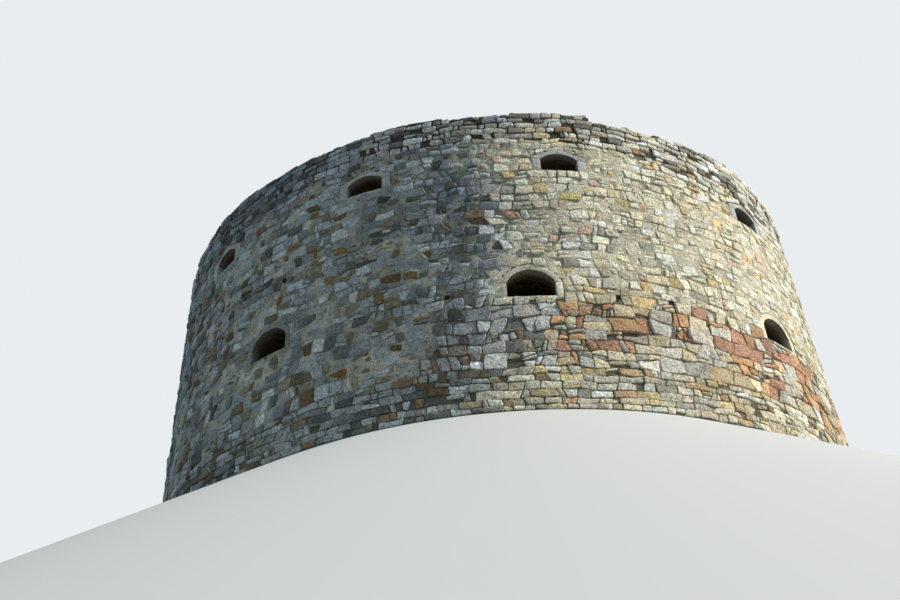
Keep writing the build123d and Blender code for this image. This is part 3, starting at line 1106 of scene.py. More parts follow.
class Nodes:
    """A short way to write a material's nodes."""

    pit_shade_colour: str = "2b2822"

    def __init__(self, name: str) -> None:
        """Starts a material with one shader, and Object coordinates.

        Args:
            name: the material's name.
        """
        self.material = bpy.data.materials.new(name)
        self.material.use_nodes = True
        self.tree = self.material.node_tree
        self.tree.nodes.clear()
        self.output = self.tree.nodes.new("ShaderNodeOutputMaterial")
        self.shader = self.tree.nodes.new("ShaderNodeBsdfPrincipled")
        self.tree.links.new(self.shader.outputs[0], self.output.inputs["Surface"])
        self.coords = self.tree.nodes.new("ShaderNodeTexCoord").outputs["Object"]

    def link(self, value: object, socket: bpy.types.NodeSocket) -> None:
        """Links a socket to another, or sets its value.

        Args:
            value: a socket, a colour or a number.
            socket: the one that takes it.
        """
        if isinstance(value, bpy.types.NodeSocket):
            self.tree.links.new(value, socket)
        elif isinstance(value, tuple) and len(value) == 3 and socket.type == "RGBA":
            socket.default_value = (*value, 1.0)
        else:
            socket.default_value = value

    def noise(
        self, scale: float, detail: float = 4.0, rough: float = 0.55, at: object = None
    ) -> bpy.types.NodeSocket:
        """Adds fractal noise.

        Args:
            scale: waves a metre.
            detail: how many finer layers it has.
            rough: how strong they are.
            at: its coordinates, if not the object's own.

        Returns:
            A value from 0 to 1.
        """
        node = self.tree.nodes.new("ShaderNodeTexNoise")
        self.link(at or self.coords, node.inputs["Vector"])
        node.inputs["Scale"].default_value = scale
        node.inputs["Detail"].default_value = detail
        node.inputs["Roughness"].default_value = rough
        return node.outputs["Fac"]

    def cells(self, scale: float, feature: str, at: object = None) -> bpy.types.Node:
        """Adds a Voronoi texture.

        Args:
            scale: cells a metre.
            feature: what it measures.
            at: its coordinates, if not the object's own.

        Returns:
            Its node.
        """
        node = self.tree.nodes.new("ShaderNodeTexVoronoi")
        node.feature = feature
        self.link(at or self.coords, node.inputs["Vector"])
        node.inputs["Scale"].default_value = scale
        return node

    def ramp(
        self, value: object, low: float, high: float, start: float = 0.0, end: float = 1.0
    ) -> bpy.types.NodeSocket:
        """Maps a value from one range to another, and keeps it inside.

        Args:
            value: what is mapped.
            low: where the first range starts.
            high: where it ends.
            start: where the second range starts.
            end: where it ends.

        Returns:
            The mapped value.
        """
        node = self.tree.nodes.new("ShaderNodeMapRange")
        self.link(value, node.inputs["Value"])
        for name, number in zip(RANGE_SOCKETS, (low, high, start, end)):
            node.inputs[name].default_value = number
        return node.outputs["Result"]

    def mix(self, share: object, first: object, second: object, blend: str = "MIX") -> bpy.types.NodeSocket:
        """Mixes two colours.

        Args:
            share: how much of the second.
            first: one colour.
            second: the other.
            blend: how they mix.

        Returns:
            The mixed colour.
        """
        node = self.tree.nodes.new("ShaderNodeMix")
        node.data_type = "RGBA"
        node.blend_type = blend
        self.link(share, node.inputs[0])
        self.link(first, node.inputs[6])
        self.link(second, node.inputs[7])
        return node.outputs[2]

    def maths(self, operation: str, first: object, second: object = 0.0) -> bpy.types.NodeSocket:
        """Does a sum on two values.

        Args:
            operation: its name.
            first: one value.
            second: the other.

        Returns:
            The result.
        """
        node = self.tree.nodes.new("ShaderNodeMath")
        node.operation = operation
        self.link(first, node.inputs[0])
        self.link(second, node.inputs[1])
        return node.outputs[0]

    def grey(self, value: object) -> bpy.types.NodeSocket:
        """Makes a grey colour.

        Args:
            value: how light.

        Returns:
            The colour.
        """
        node = self.tree.nodes.new("ShaderNodeCombineColor")
        for socket in node.inputs:
            self.link(value, socket)
        return node.outputs[0]

    def pitted_with_shade(self, base: object, scale: float, depth: float) -> bpy.types.NodeSocket:
        """Puts clusters of dark pits into a colour: painted shade of small holes.

        Args:
            base: the colour.
            scale: pits a metre.
            depth: how dark they are.

        Returns:
            The pitted colour.
        """
        dots = self.ramp(self.cells(scale, "F1").outputs["Distance"], 0.16, 0.38, 1.0, 0.0)
        clusters = self.ramp(self.noise(3.3, 4.0, 0.6), 0.5, 0.58, 0.0, depth)
        return self.mix(self.maths("MULTIPLY", dots, clusters), base, colour(self.pit_shade_colour))

    def attribute(self, name: str) -> bpy.types.NodeSocket:
        """Reads a colour attribute of the piece.

        Args:
            name: the attribute's name.

        Returns:
            Its colour.
        """
        node = self.tree.nodes.new("ShaderNodeAttribute")
        node.attribute_name = name
        return node.outputs["Color"]

    def bump(
        self, height: object, strength: float, distance: float, under: object = None
    ) -> bpy.types.NodeSocket:
        """Roughens a normal by a height.

        Args:
            height: the height, from 0 to 1.
            strength: how strong the effect is.
            distance: metres that a height of 1 stands for.
            under: a normal that is already rough.

        Returns:
            The roughened normal.
        """
        node = self.tree.nodes.new("ShaderNodeBump")
        node.inputs["Strength"].default_value = strength
        node.inputs["Distance"].default_value = distance
        self.link(height, node.inputs["Height"])
        if under is not None:
            self.link(under, node.inputs["Normal"])
        return node.outputs[0]

    def finish(
        self, base: object, rough: object, normal: object, specular: float = 0.1
    ) -> bpy.types.Material:
        """Wires the shader.

        Args:
            base: colour.
            rough: roughness.
            normal: the normal, or none.
            specular: specular level.

        Returns:
            The finished material.
        """
        self.link(base, self.shader.inputs["Base Color"])
        self.link(rough, self.shader.inputs["Roughness"])
        if normal is not None:
            self.link(normal, self.shader.inputs["Normal"])
        self.shader.inputs["Specular IOR Level"].default_value = specular
        return self.material


@dataclass(frozen=True)
class StoneFinish:
    """Weathered stone, its colour taken from each stone's own tint, which on some pieces holds painted shade,
    with dark pits of painted shade.
    """

    name: str
    grain: float = 15.0
    relief: float = 0.024
    lichen: float = 0.6
    # How dark the painted shade of the pits is.
    pits: float = 0.55
    lichen_colour: str = "3b3831"
    bleached: str = "d2ccba"

    def material(self) -> bpy.types.Material:
        """Makes the finish.

        Returns:
            A material for the pieces that wear it.
        """
        n = Nodes(self.name)
        broad = n.ramp(n.noise(1.7, 5.0, 0.6), 0.38, 0.62, 0.84, 1.12)
        fine = n.ramp(n.noise(self.grain, 6.0, 0.7), 0.35, 0.65, 0.48, 1.4)
        base = n.mix(1.0, n.attribute("tint"), n.grey(n.maths("MULTIPLY", broad, fine)), "MULTIPLY")
        dark = n.ramp(n.noise(7.0, 8.0, 0.72), 0.54, 0.64)
        base = n.mix(n.maths("MULTIPLY", dark, self.lichen), base, colour(self.lichen_colour))
        pale = n.ramp(n.noise(4.3, 8.0, 0.74), 0.58, 0.7)
        base = n.mix(n.maths("MULTIPLY", pale, self.lichen * 0.8), base, colour(self.bleached))
        # Painted shade: clusters of small dark pits.
        base = n.pitted_with_shade(base, 12.0, self.pits)
        coarse = n.bump(n.noise(5.0, 5.0, 0.6), 0.7, self.relief * 2)
        chipped = n.cells(11.0, "F1").outputs["Distance"]
        normal = n.bump(n.maths("ADD", chipped, n.noise(self.grain * 2, 6.0, 0.7)), 0.55, self.relief, coarse)
        return n.finish(base, n.ramp(fine, 0.7, 1.2, 0.95, 0.8), normal)


@dataclass(frozen=True)
class MortarFinish:
    """Lime mortar, sandy and blotched, with painted shade in its hollows and pits."""

    name: str
    light: str
    dark: str
    grain: float = 24.0
    relief: float = 0.014
    tinted: bool = False
    hollow_shade_strength: float = 0.75
    hollow_shade_colour: str = "4a4539"

    def material(self) -> bpy.types.Material:
        """Makes the finish.

        Returns:
            A material for the pieces that wear it.
        """
        n = Nodes(self.name)
        blotch = n.ramp(n.noise(2.2, 6.0, 0.62), 0.3, 0.7)
        base = n.mix(blotch, colour(self.dark), colour(self.light))
        if self.tinted:
            base = n.mix(1.0, base, n.attribute("tint"), "MULTIPLY")
        sand = n.ramp(n.noise(self.grain, 6.0, 0.72), 0.35, 0.65, 0.54, 1.3)
        # Painted shade: dark patches where the mortar is gone, for the dark in the hollows, then clusters of
        # pits of painted shade.
        hollow_shade_mask = n.ramp(n.noise(9.0, 8.0, 0.75), 0.55, 0.64, 0.0, self.hollow_shade_strength)
        base = n.mix(hollow_shade_mask, base, colour(self.hollow_shade_colour))
        base = n.pitted_with_shade(n.mix(1.0, base, n.grey(sand), "MULTIPLY"), 10.0, 0.6)
        pits = n.ramp(n.cells(19.0, "F1").outputs["Distance"], 0.0, 0.45)
        coarse = n.bump(n.noise(6.0, 6.0, 0.65), 0.8, self.relief * 2.2)
        normal = n.bump(n.maths("ADD", pits, n.noise(self.grain * 2, 6.0, 0.7)), 0.6, self.relief, coarse)
        return n.finish(base, 0.93, normal)


@dataclass(frozen=True)
class WalledFinish:
    """Rough rubble drawn by bump, for faces in the dark of the tunnels and the gallery."""

    name: str
    light: str
    dark: str
    mortar: str
    size: float = 2.6
    flattened: float = 1.9

    def material(self) -> bpy.types.Material:
        """Makes the finish.

        Returns:
            A material for the pieces that wear it.
        """
        n = Nodes(self.name)
        stretch = n.tree.nodes.new("ShaderNodeMapping")
        stretch.inputs["Scale"].default_value = (1.0, 1.0, self.flattened)
        n.link(n.coords, stretch.inputs["Vector"])
        at = stretch.outputs[0]
        stones = n.cells(self.size, "F1", at)
        joint = n.ramp(n.cells(self.size, "DISTANCE_TO_EDGE", at).outputs["Distance"], 0.02, 0.09)
        tone = n.ramp(stones.outputs["Color"], 0.2, 0.8)
        base = n.mix(tone, colour(self.dark), colour(self.light))
        base = n.mix(n.ramp(n.noise(9.0, 6.0, 0.65), 0.3, 0.7, 0.0, 0.5), base, colour(self.dark))
        base = n.mix(joint, colour(self.mortar), base)
        coarse = n.bump(joint, 0.9, 0.03)
        normal = n.bump(n.noise(14.0, 7.0, 0.68), 0.8, 0.02, coarse)
        return n.finish(base, 0.92, normal)


# Pieces.


def mouth_holes(mouths: Iterable[Mouth], surface: OuterFace) -> list[Outline]:
    """Unrolls the outlines of dressed stones on to the outer face.

    Args:
        mouths: the openings.
        surface: the outer face.

    Returns:
        One outline for each opening.
    """
    holes = []
    for mouth in mouths:
        stretch = surface.length / math.tau / TOWER.outer_radius(mouth.sill + mouth.jamb)
        centre = surface.along(mouth.azimuth)
        holes.append([(centre + x * stretch, mouth.sill + y) for x, y in mouth.outline()])
    return holes


@dataclass
class OuterMasonry:
    """The thousands of face stones of the ring wall."""

    surface: OuterFace = field(default_factory=OuterFace)
    sectors: int = 6
    seed: int = 7
    ragged: float = 0.05
    ragged_waves: float = 2.1
    ragged_seed: float = 4.0
    small: float = 0.06
    lost: float = 0.14
    putlog: Point = (0.08, 0.07)
    courses: tuple[Point, ...] = ((1.3, 0.23), (3.7, 0.42), (9.1, 0.31), (math.inf, 0.25))

    def course(self, level: float) -> float:
        """Returns the usual height of a course that starts at a level."""
        return next(high for below, high in self.courses if level < below)

    def kind(self, u: float, v: float) -> Masonry:
        """Returns the masonry at a place on the unrolled face."""
        return PLAN.kind(self.surface.azimuth(u, v), v)

    def top(self, u: float) -> float:
        """Finds how high the stones reach at a place along the face.

        Args:
            u: how far along the face.

        Returns:
            The level, in metres over the foot.
        """
        azimuth = self.surface.azimuth(u, 0)
        spot = Vector((u * self.ragged_waves, 0.0, self.ragged_seed))
        return TOWER.head_level(azimuth) + self.ragged * noise.noise(spot)

    def build(self, material: bpy.types.Material) -> int:
        """Makes the stones, one object a sector.

        Args:
            material: the stones' finish.

        Returns:
            How many there are.
        """
        holes = mouth_holes(MOUTHS, self.surface)
        for azimuth, level in PUTLOGS:
            holes.append(rectangle(self.surface.along(azimuth), level, *self.putlog))
        layout = Layout(self.surface, self.kind, self.course, self.seed, keep_outs=holes, top=self.top)
        meshes = [Stonework(f"face_stones_{i + 1}") for i in range(self.sectors)]
        rng = random.Random(self.seed)
        cells = layout.cells()
        for cell in cells:
            u, v = middle(cell.outline)
            azimuth = self.surface.azimuth(u, v)
            bond = cell.bond
            if area(cell.outline) < self.small and rng.random() < self.lost:
                continue
            proud = bond.stand(rng)
            # The tint takes in the damp patches and the painted shade of the outer face.
            tint = WEATHER_AND_SHADE.tinted(bond.palette.pick(rng), azimuth, v)
            for mark in LANDMARKS:
                if mark.lies_in(cell.outline, self.surface):
                    tint = colour(mark.code)
            sector = int((azimuth % 360) / 360 * self.sectors) % self.sectors
            meshes[sector].lay(cell.outline, self.surface.place, bond, proud, tint, rng)
        for mesh in meshes:
            mesh.build(material, "rubble_masonry")
        return len(cells)


@dataclass
class Pointing:
    """The coat of flush mortar that still covers the middle of the outer face."""

    surface: OuterFace = field(default_factory=OuterFace)
    step_u: float = 0.16
    step_v: float = 0.15
    lowest: float = 1.0
    thickness: float = 0.031
    rooted: float = 0.02
    near: float = 3.5
    crease: float = 40.0
    hidden: float = 0.11
    clear: float = 0.02
    edge: float = 0.25
    edge_lost: float = 0.25
    shade_turn: Point = (-30.0, 20.0)
    shade_lost: float = 0.2
    least: float = 0.004
    worn: float = 0.006
    # Painted shade: the tint darkens where the coat is thinner than these depths, down in the joints.
    thin_coat_shade_depths: Point = (0.008, 0.03)
    thin_coat_shade: float = 0.5
    stain_and_shade_blue: float = 0.2
    broad: Waves = Waves(0.03, 0.8, 29.0)
    lumps: Waves = Waves(0.022, 2.4, 31.0)
    grit: Waves = Waves(0.007, 6.1, 37.0)
    blotches: Waves = Waves(0.3, 1.7, 43.0)

    def build(self, material: bpy.types.Material) -> None:
        """Makes the coat as one closed shell.

        Args:
            material: the mortar's finish.
        """
        columns = round(self.surface.length / self.step_u)
        rows = round((TOWER.height - self.lowest) / self.step_v)
        bm = bmesh.new()
        layer = bm.verts.layers.float_color.new("tint")
        bmesh.ops.create_grid(bm, x_segments=columns, y_segments=rows, size=0.5)
        bmesh.ops.translate(bm, verts=bm.verts, vec=(0.5, 0.5, 0.0))
        bmesh.ops.scale(bm, verts=bm.verts, vec=(self.surface.length, rows * self.step_v, 1.0))
        bmesh.ops.translate(bm, verts=bm.verts, vec=(0.0, self.lowest, 0.0))
        holes = mouth_holes(MOUTHS, self.surface)
        bare = [vert for vert in bm.verts if not self._spread(vert, layer, holes)]
        bmesh.ops.delete(bm, geom=bare, context="VERTS")
        bmesh.ops.remove_doubles(bm, verts=bm.verts, dist=1e-4)
        bmesh.ops.dissolve_degenerate(bm, dist=1e-4, edges=bm.edges)
        result = bmesh.ops.extrude_face_region(bm, geom=bm.faces[:])
        for vert in (item for item in result["geom"] if isinstance(item, bmesh.types.BMVert)):
            sink = (TOWER.outer_radius(vert.co.z) - self.rooted) / math.hypot(vert.co.x, vert.co.y)
            vert.co.x *= sink
            vert.co.y *= sink
        bmesh.ops.recalc_face_normals(bm, faces=bm.faces)
        mesh = mesh_of("pointing", bm)
        mesh.shade_smooth()
        mesh.set_sharp_from_angle(angle=math.radians(self.crease))
        carried(mesh, material, "rubble_masonry")

    def _turn(self, along: float) -> float:
        """Returns a distance along the face as the shorter way round."""
        half = self.surface.length / 2
        return (along + half) % self.surface.length - half

    def _spread(self, vert: bmesh.types.BMVert, layer: object, holes: Sequence[Outline]) -> bool:
        """Lays one vertex of the flat coat on the face, with the coat's thickness and its tint there, which
        holds painted shade.

        Args:
            vert: the vertex, at its place on the unrolled face.
            layer: the tint's layer.
            holes: the openings' outlines.

        Returns:
            Whether the coat reaches there.
        """
        u = vert.co.x
        azimuth = self.surface.azimuth(u, 0)
        low, high = PLAN.foot_of_pointing(azimuth), PLAN.foot_of_head(azimuth)
        if not low - self.step_v <= vert.co.y <= high + self.step_v:
            return False
        near = [hole for hole in holes if abs(self._turn(u - hole[0][0])) < self.near]
        spot = self._off_holes(u, min(max(vert.co.y, low), high), near)
        if spot is None:
            return False
        u, v = spot
        rough = self.broad.at(azimuth, v) + self.lumps.at(azimuth, v)
        rough += self.grit.at(azimuth, v) - self.worn
        edge = self.edge_lost * smooth(0.0, self.edge, min(v - low, high - v))
        shade = self.shade_lost * smooth(*self.shade_turn, short_way(azimuth))
        full = self.thickness * (1 - self.edge_lost + edge) * (1 - self.shade_lost + shade)
        out = max(self.least, full + rough)
        vert.co = self.surface.place(u, v, out)
        # The tint takes the damp patches, the painted shade and the blue cast of the outer face, and darkens
        # where the coat is thin: painted shade in the joints.
        light, blue = WEATHER_AND_SHADE.wear(azimuth, v)
        whole = self.thin_coat_shade * smooth(*self.thin_coat_shade_depths, out)
        light *= (1 + self.blotches.at(azimuth, v)) * (1 - self.thin_coat_shade + whole)
        vert[layer] = (light * (1 - self.stain_and_shade_blue * blue), light, light * (1 + self.stain_and_shade_blue * blue), 1.0)
        return True

    def _off_holes(self, u: float, v: float, holes: Sequence[Outline]) -> Optional[Point]:
        """Moves a point that lies just inside an opening to its edge, and drops one further in.

        Args:
            u: how far along the face.
            v: how far up it.
            holes: the openings' outlines.

        Returns:
            Where it ends up, or none.
        """
        for hole in holes:
            inside, push = -1e9, (0.0, 0.0)
            for (ax, ay), end in sides(hole):
                nx, ny = normal((ax, ay), end)
                off = nx * self._turn(u - ax) + ny * (v - ay)
                if off > inside:
                    inside, push = off, (nx, ny)
            if inside < -self.hidden:
                return None
            if inside < self.clear:
                return (u - push[0] * inside, v - push[1] * inside)
        return (u, v)


@dataclass
class WallCrown:
    """The top of the broken wall head and the loose stones along its outer edge."""

    surface: WallTop = field(default_factory=WallTop)
    course: float = 0.34
    sway: float = 0.06
    edge: float = 0.4
    loose: Point = (0.02, 0.13)
    loose_power: float = 2.2
    least: float = 0.01
    sunk: float = 0.04
    seed: int = 19

    def build(self, material: bpy.types.Material) -> int:
        """Makes the stones.

        Args:
            material: the stones' finish.

        Returns:
            How many there are.
        """
        layout = Layout(self.surface, lambda u, v: Masonry.CREST, lambda v: self.course, self.seed, self.sway)
        mesh = Stonework("wall_head_stones")
        rng = random.Random(self.seed)
        cells = layout.cells()
        for cell in cells:
            u, v = middle(cell.outline)
            azimuth = self.surface.azimuth(u, v)
            bond = cell.bond
            proud = bond.stand(rng)
            if v < self.edge:
                proud = self.loose[0] + self.loose[1] * rng.random() ** self.loose_power
            tint = bond.palette.pick(rng)
            place = partial(self._on_step, TOWER.head_level(azimuth))
            mesh.lay(cell.outline, place, bond, max(self.least, proud), tint, rng, self.sunk)
        mesh.build(material, "rubble_masonry")
        return len(cells)

    def _on_step(self, level: float, u: float, v: float, out: float) -> Place:
        """Returns the place of a point of a stone that lies on one step of the head."""
        x, y, _ = self.surface.place(u, v, 0.0)
        return (x, y, level + out)


@dataclass
class InnerMasonry:
    """The stones of a round inner face."""

    name: str
    radius: float
    floor: float
    height: float
    mouths: Sequence[Mouth]
    splay: float
    seed: int
    head: bool = False
    course: float = 0.4
    sway: float = 0.12
    under_top: float = 0.01

    def build(self, material: bpy.types.Material, slot: str) -> int:
        """Makes the stones.

        Args:
            material: the stones' finish.
            slot: the record's material slot that they go with.

        Returns:
            How many there are.
        """
        surface = InnerFace(self.radius, self.floor, self.height)
        holes = []
        for mouth in self.mouths:
            centre = surface.along(-mouth.azimuth)
            wide = mouth.half_width * self.splay
            arc = arc_back(wide, mouth.jamb * self.splay, mouth.rise * self.splay)
            outline = [(-wide, 0.0), (wide, 0.0), *arc]
            holes.append([(centre + x, mouth.sill - self.floor + y) for x, y in outline])
        top = partial(self._top, surface) if self.head else None
        layout = Layout(
            surface, lambda u, v: Masonry.INNER, lambda v: self.course, self.seed, self.sway, holes, top
        )
        mesh = Stonework(self.name)
        rng = random.Random(self.seed)
        cells = layout.cells()
        for cell in cells:
            bond = cell.bond
            mesh.lay(cell.outline, surface.place, bond, bond.stand(rng), bond.palette.pick(rng), rng)
        mesh.build(material, slot)
        return len(cells)

    def _top(self, surface: InnerFace, u: float) -> float:
        """Returns how high over the floor the stones reach at a place along the face."""
        return TOWER.head_level(surface.azimuth(u, 0)) - self.floor - self.under_top


@dataclass
class Paving:
    """The flags of a round floor."""

    name: str
    radius: float
    level: float
    hollow: float
    seed: int
    course: float = 0.5
    sway: float = 0.05
    bevel: float = 0.01
    margin: float = 0.02

    def build(self, material: bpy.types.Material) -> int:
        """Makes the flags.

        Args:
            material: the flags' finish.

        Returns:
            How many there are.
        """
        surface = Floor(self.radius, self.level)
        layout = Layout(surface, lambda u, v: Masonry.FLAGS, lambda v: self.course, self.seed, self.sway)
        mesh = Stonework(self.name, self.bevel)
        rng = random.Random(self.seed)
        count = 0
        for cell in layout.cells():
            u, v = middle(cell.outline)
            off = math.hypot(u - self.radius, v - self.radius)
            if off < self.hollow or off > self.radius - self.margin:
                continue
            bond = cell.bond
            mesh.lay(cell.outline, surface.place, bond, bond.stand(rng), bond.palette.pick(rng), rng)
            count += 1
        mesh.build(material, "paving")
        return count


@dataclass
class Dressings:
    """The dressed stones of the openings, with worn arrises."""

    nodes: tuple[str, ...] = (
        "lower_jamb_stones", "lower_arch_stones", "upper_jamb_stones", "upper_arch_stones",
        "doorway_jamb_stones", "doorway_arch_stones",
    )
    wear: float = 0.011
    relief: float = 0.012
    waves: float = 4.3
    flat: float = 4.0
    sharp: float = 0.6
    longest: float = 0.22
    proud: float = 0.025
    spread: float = 0.12
    seed: int = 3
    upper: str = "b8b6b1"
    lower_sunny: str = "e6dcc2"
    lower_shady: str = "94928a"
    # Painted shade: faces that look down or lie deep in the opening darken towards this colour.
    recess_shade_colour: str = "57493a"
    shaded: float = 0.8
    facing_out: Point = (0.35, 0.75)
    facing_down: Point = (0.25, 0.6)
    recess_shade_depths: Point = (0.04, 0.3)
    sunny_turn: Point = (-12.0, 12.0)

    def build(self, material: bpy.types.Material) -> None:
        """Makes a worn copy of each node of dressed stones, and lets it stand for the node.

        Args:
            material: the dressed stones' finish.
        """
        rng = random.Random(self.seed)
        for node in self.nodes:
            bm = self._worn(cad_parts[node])
            self._tone_and_shade(bm, node, rng)
            piece = carried(mesh_of(f"worn_{node}", bm), material, "dressed_stone")
            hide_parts(node)

    def _worn(self, node: bpy.types.Object) -> bmesh.types.BMesh:
        """Copies a node's stones, wears their arrises and roughens their faces.

        Args:
            node: the node's object.

        Returns:
            The worn stones.
        """
        bm = bmesh.new()
        bm.from_mesh(node.data)
        bm.transform(node.matrix_world)
        bmesh.ops.remove_doubles(bm, verts=bm.verts, dist=1e-5)
        bmesh.ops.dissolve_limit(
            bm, angle_limit=math.radians(self.flat), verts=bm.verts, edges=bm.edges,
            use_dissolve_boundaries=False,
        )
        sharp = [e for e in bm.edges if len(e.link_faces) == 2 and e.calc_face_angle(0.0) > self.sharp]
        bmesh.ops.bevel(
            bm, geom=sharp, offset=self.wear, offset_type="OFFSET", segments=2, profile=0.5,
            affect="EDGES", clamp_overlap=True, material=-1,
        )
        bmesh.ops.triangulate(bm, faces=bm.faces)
        long = [e for e in bm.edges if e.calc_length() > self.longest]
        bmesh.ops.subdivide_edges(bm, edges=long, cuts=2, use_grid_fill=True)
        bmesh.ops.triangulate(bm, faces=bm.faces)
        for vert in bm.verts:
            vert.co += noise.noise_vector(vert.co * self.waves) * self.relief
        bmesh.ops.recalc_face_normals(bm, faces=bm.faces)
        return bm

    def _tone_and_shade(self, bm: bmesh.types.BMesh, node: str, rng: random.Random) -> None:
        """Gives each stone its colour, darker where it faces down or lies deep in the opening: painted shade.

        Args:
            bm: the stones.
            node: the node that they belong to.
            rng: source of chance.
        """
        tint = bm.loops.layers.float_color.new("tint")
        for group in self._solids(bm):
            value = 1 + rng.uniform(-self.spread, self.spread)
            # The base colour: for the lower stones, the sunny copy on the lit side and the shady copy on the
            # other, painted light and shade.
            pale = self._pale(node, group[0].co)
            for loop in (loop for vert in group for loop in vert.link_loops):
                outward = Vector((loop.vert.co.x, loop.vert.co.y, 0.0)).normalized()
                deep = TOWER.outer_radius(loop.vert.co.z) + self.proud - loop.vert.co.dot(outward)
                turned = 1 - smooth(*self.facing_out, loop.face.normal.dot(outward))
                # Painted shade, darker on faces that look down and deeper in the opening.
                under = self.shaded * smooth(*self.facing_down, -loop.face.normal.z)
                recess_shade = turned * max(under, smooth(*self.recess_shade_depths, deep))
                mixed = (value * (p + (d - p) * recess_shade) for p, d in zip(pale, colour(self.recess_shade_colour)))
                loop[tint] = (*mixed, 1.0)

    def _pale(self, node: str, spot: Vector) -> Colour:
        """Picks a dressed stone's colour before the painted shade of the opening: one colour for the upper
        stones, and for the lower ones a sunny copy on the lit side and a darker shady copy on the other,
        painted light and shade.

        Args:
            node: the node that it belongs to.
            spot: one of its corners.

        Returns:
            The colour.
        """
        if node.startswith("upper"):
            return colour(self.upper)
        turned = math.degrees(math.atan2(spot.x, -spot.y))
        share = smooth(*self.sunny_turn, turned)
        return tuple(a + (b - a) * share for a, b in zip(colour(self.lower_shady), colour(self.lower_sunny)))

    @staticmethod
    def _place(vert: bmesh.types.BMVert) -> tuple[float, ...]:
        """Returns a vertex's place to the millimetre, to sort by."""
        return tuple(round(c, 3) for c in vert.co)

    def _solids(self, bm: bmesh.types.BMesh) -> list[list[bmesh.types.BMVert]]:
        """Sorts the vertices into separate solids, in an order that is the same each run.

        Args:
            bm: the mesh.

        Returns:
            Each solid's vertices.
        """
        seen: set[bmesh.types.BMVert] = set()
        groups = []
        for start in bm.verts:
            if start in seen:
                continue
            seen.add(start)
            stack, group = [start], []
            while stack:
                vert = stack.pop()
                group.append(vert)
                for edge in vert.link_edges:
                    other = edge.other_vert(vert)
                    if other not in seen:
                        seen.add(other)
                        stack.append(other)
            groups.append(sorted(group, key=self._place))
        return sorted(groups, key=lambda group: self._place(group[0]))


@dataclass
class Putlogs:
    """Dark plugs at the ends of the putlog holes: painted shade, standing for the dark inside them."""

    size: float = 0.065
    out: float = 0.046
    depth: float = 0.995

    def build(self, material: bpy.types.Material) -> None:
        """Makes the hole ends.

        Args:
            material: the near-black finish of the plugs, painted shade.
        """
        surface = OuterFace()
        bm = bmesh.new()
        for azimuth, level in PUTLOGS:
            corners = rectangle(azimuth / 360 * surface.length, level, self.size, self.size)
            face = bm.faces.new([bm.verts.new(surface.place(x, y, self.out)) for x, y in corners])
            back = bmesh.ops.extrude_face_region(bm, geom=[face])
            for vert in (item for item in back["geom"] if isinstance(item, bmesh.types.BMVert)):
                vert.co.x *= self.depth
                vert.co.y *= self.depth
        bmesh.ops.recalc_face_normals(bm, faces=bm.faces)
        carried(mesh_of("putlog_holes", bm), material, "rubble_masonry")


@dataclass
class CoreFinishes:
    """Gives the solids that stay in view their finishes."""

    vaulted: tuple[str, ...] = (
        "gallery_vault", "lower_embrasure", "upper_embrasure", "doorway_vault", "central_pier",
    )
    floors: tuple[str, ...] = ("gallery_floor", "platform_paving")

    def build(self) -> None:
        """Assigns the materials."""
        joints = MortarFinish("joint mortar", "8a8271", "5b5547", grain=20.0, relief=0.02).material()
        open_joints = MortarFinish("open joints", "5f594c", "3a352c", grain=20.0, relief=0.02).material()
        inside = WalledFinish("inner rubble", "6e5c42", "45392a", "75664e").material()
        floor = MortarFinish("paving bed", "7d7463", "5c5446").material()
        for name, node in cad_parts.items():
            if name.startswith(self.vaulted):
                material = inside
            elif name in self.floors:
                material = floor
            elif name.startswith("wall_head"):
                material = open_joints
            else:
                material = joints
            node.data.materials.clear()
            node.data.materials.append(material)


# Floor, light and camera.


@dataclass
class Mound:
    """The plain pale floor. It falls away from the foot, because the photograph looks up from below it."""

    top: float = 12.17
    slope: float = 33.0
    reach: float = 95.0
    under_foot: float = 0.004
    segments: int = 256
    pale: str = "c1c1bf"
    rough: float = 0.95

    def build(self) -> None:
        """Makes the mound."""
        bm = bmesh.new()
        drop = (self.reach - self.top) * math.tan(math.radians(self.slope))
        bmesh.ops.create_cone(
            bm, cap_ends=True, segments=self.segments, radius1=self.reach, radius2=self.top, depth=drop,
            matrix=Matrix.Translation((0, 0, -drop / 2 - self.under_foot)),
        )
        mesh = mesh_of("mound", bm)
        floor = bpy.data.objects.new("mound", mesh)
        bpy.context.scene.collection.objects.link(floor)
        mesh.materials.append(Nodes("studio floor").finish(colour(self.pale), self.rough, None))


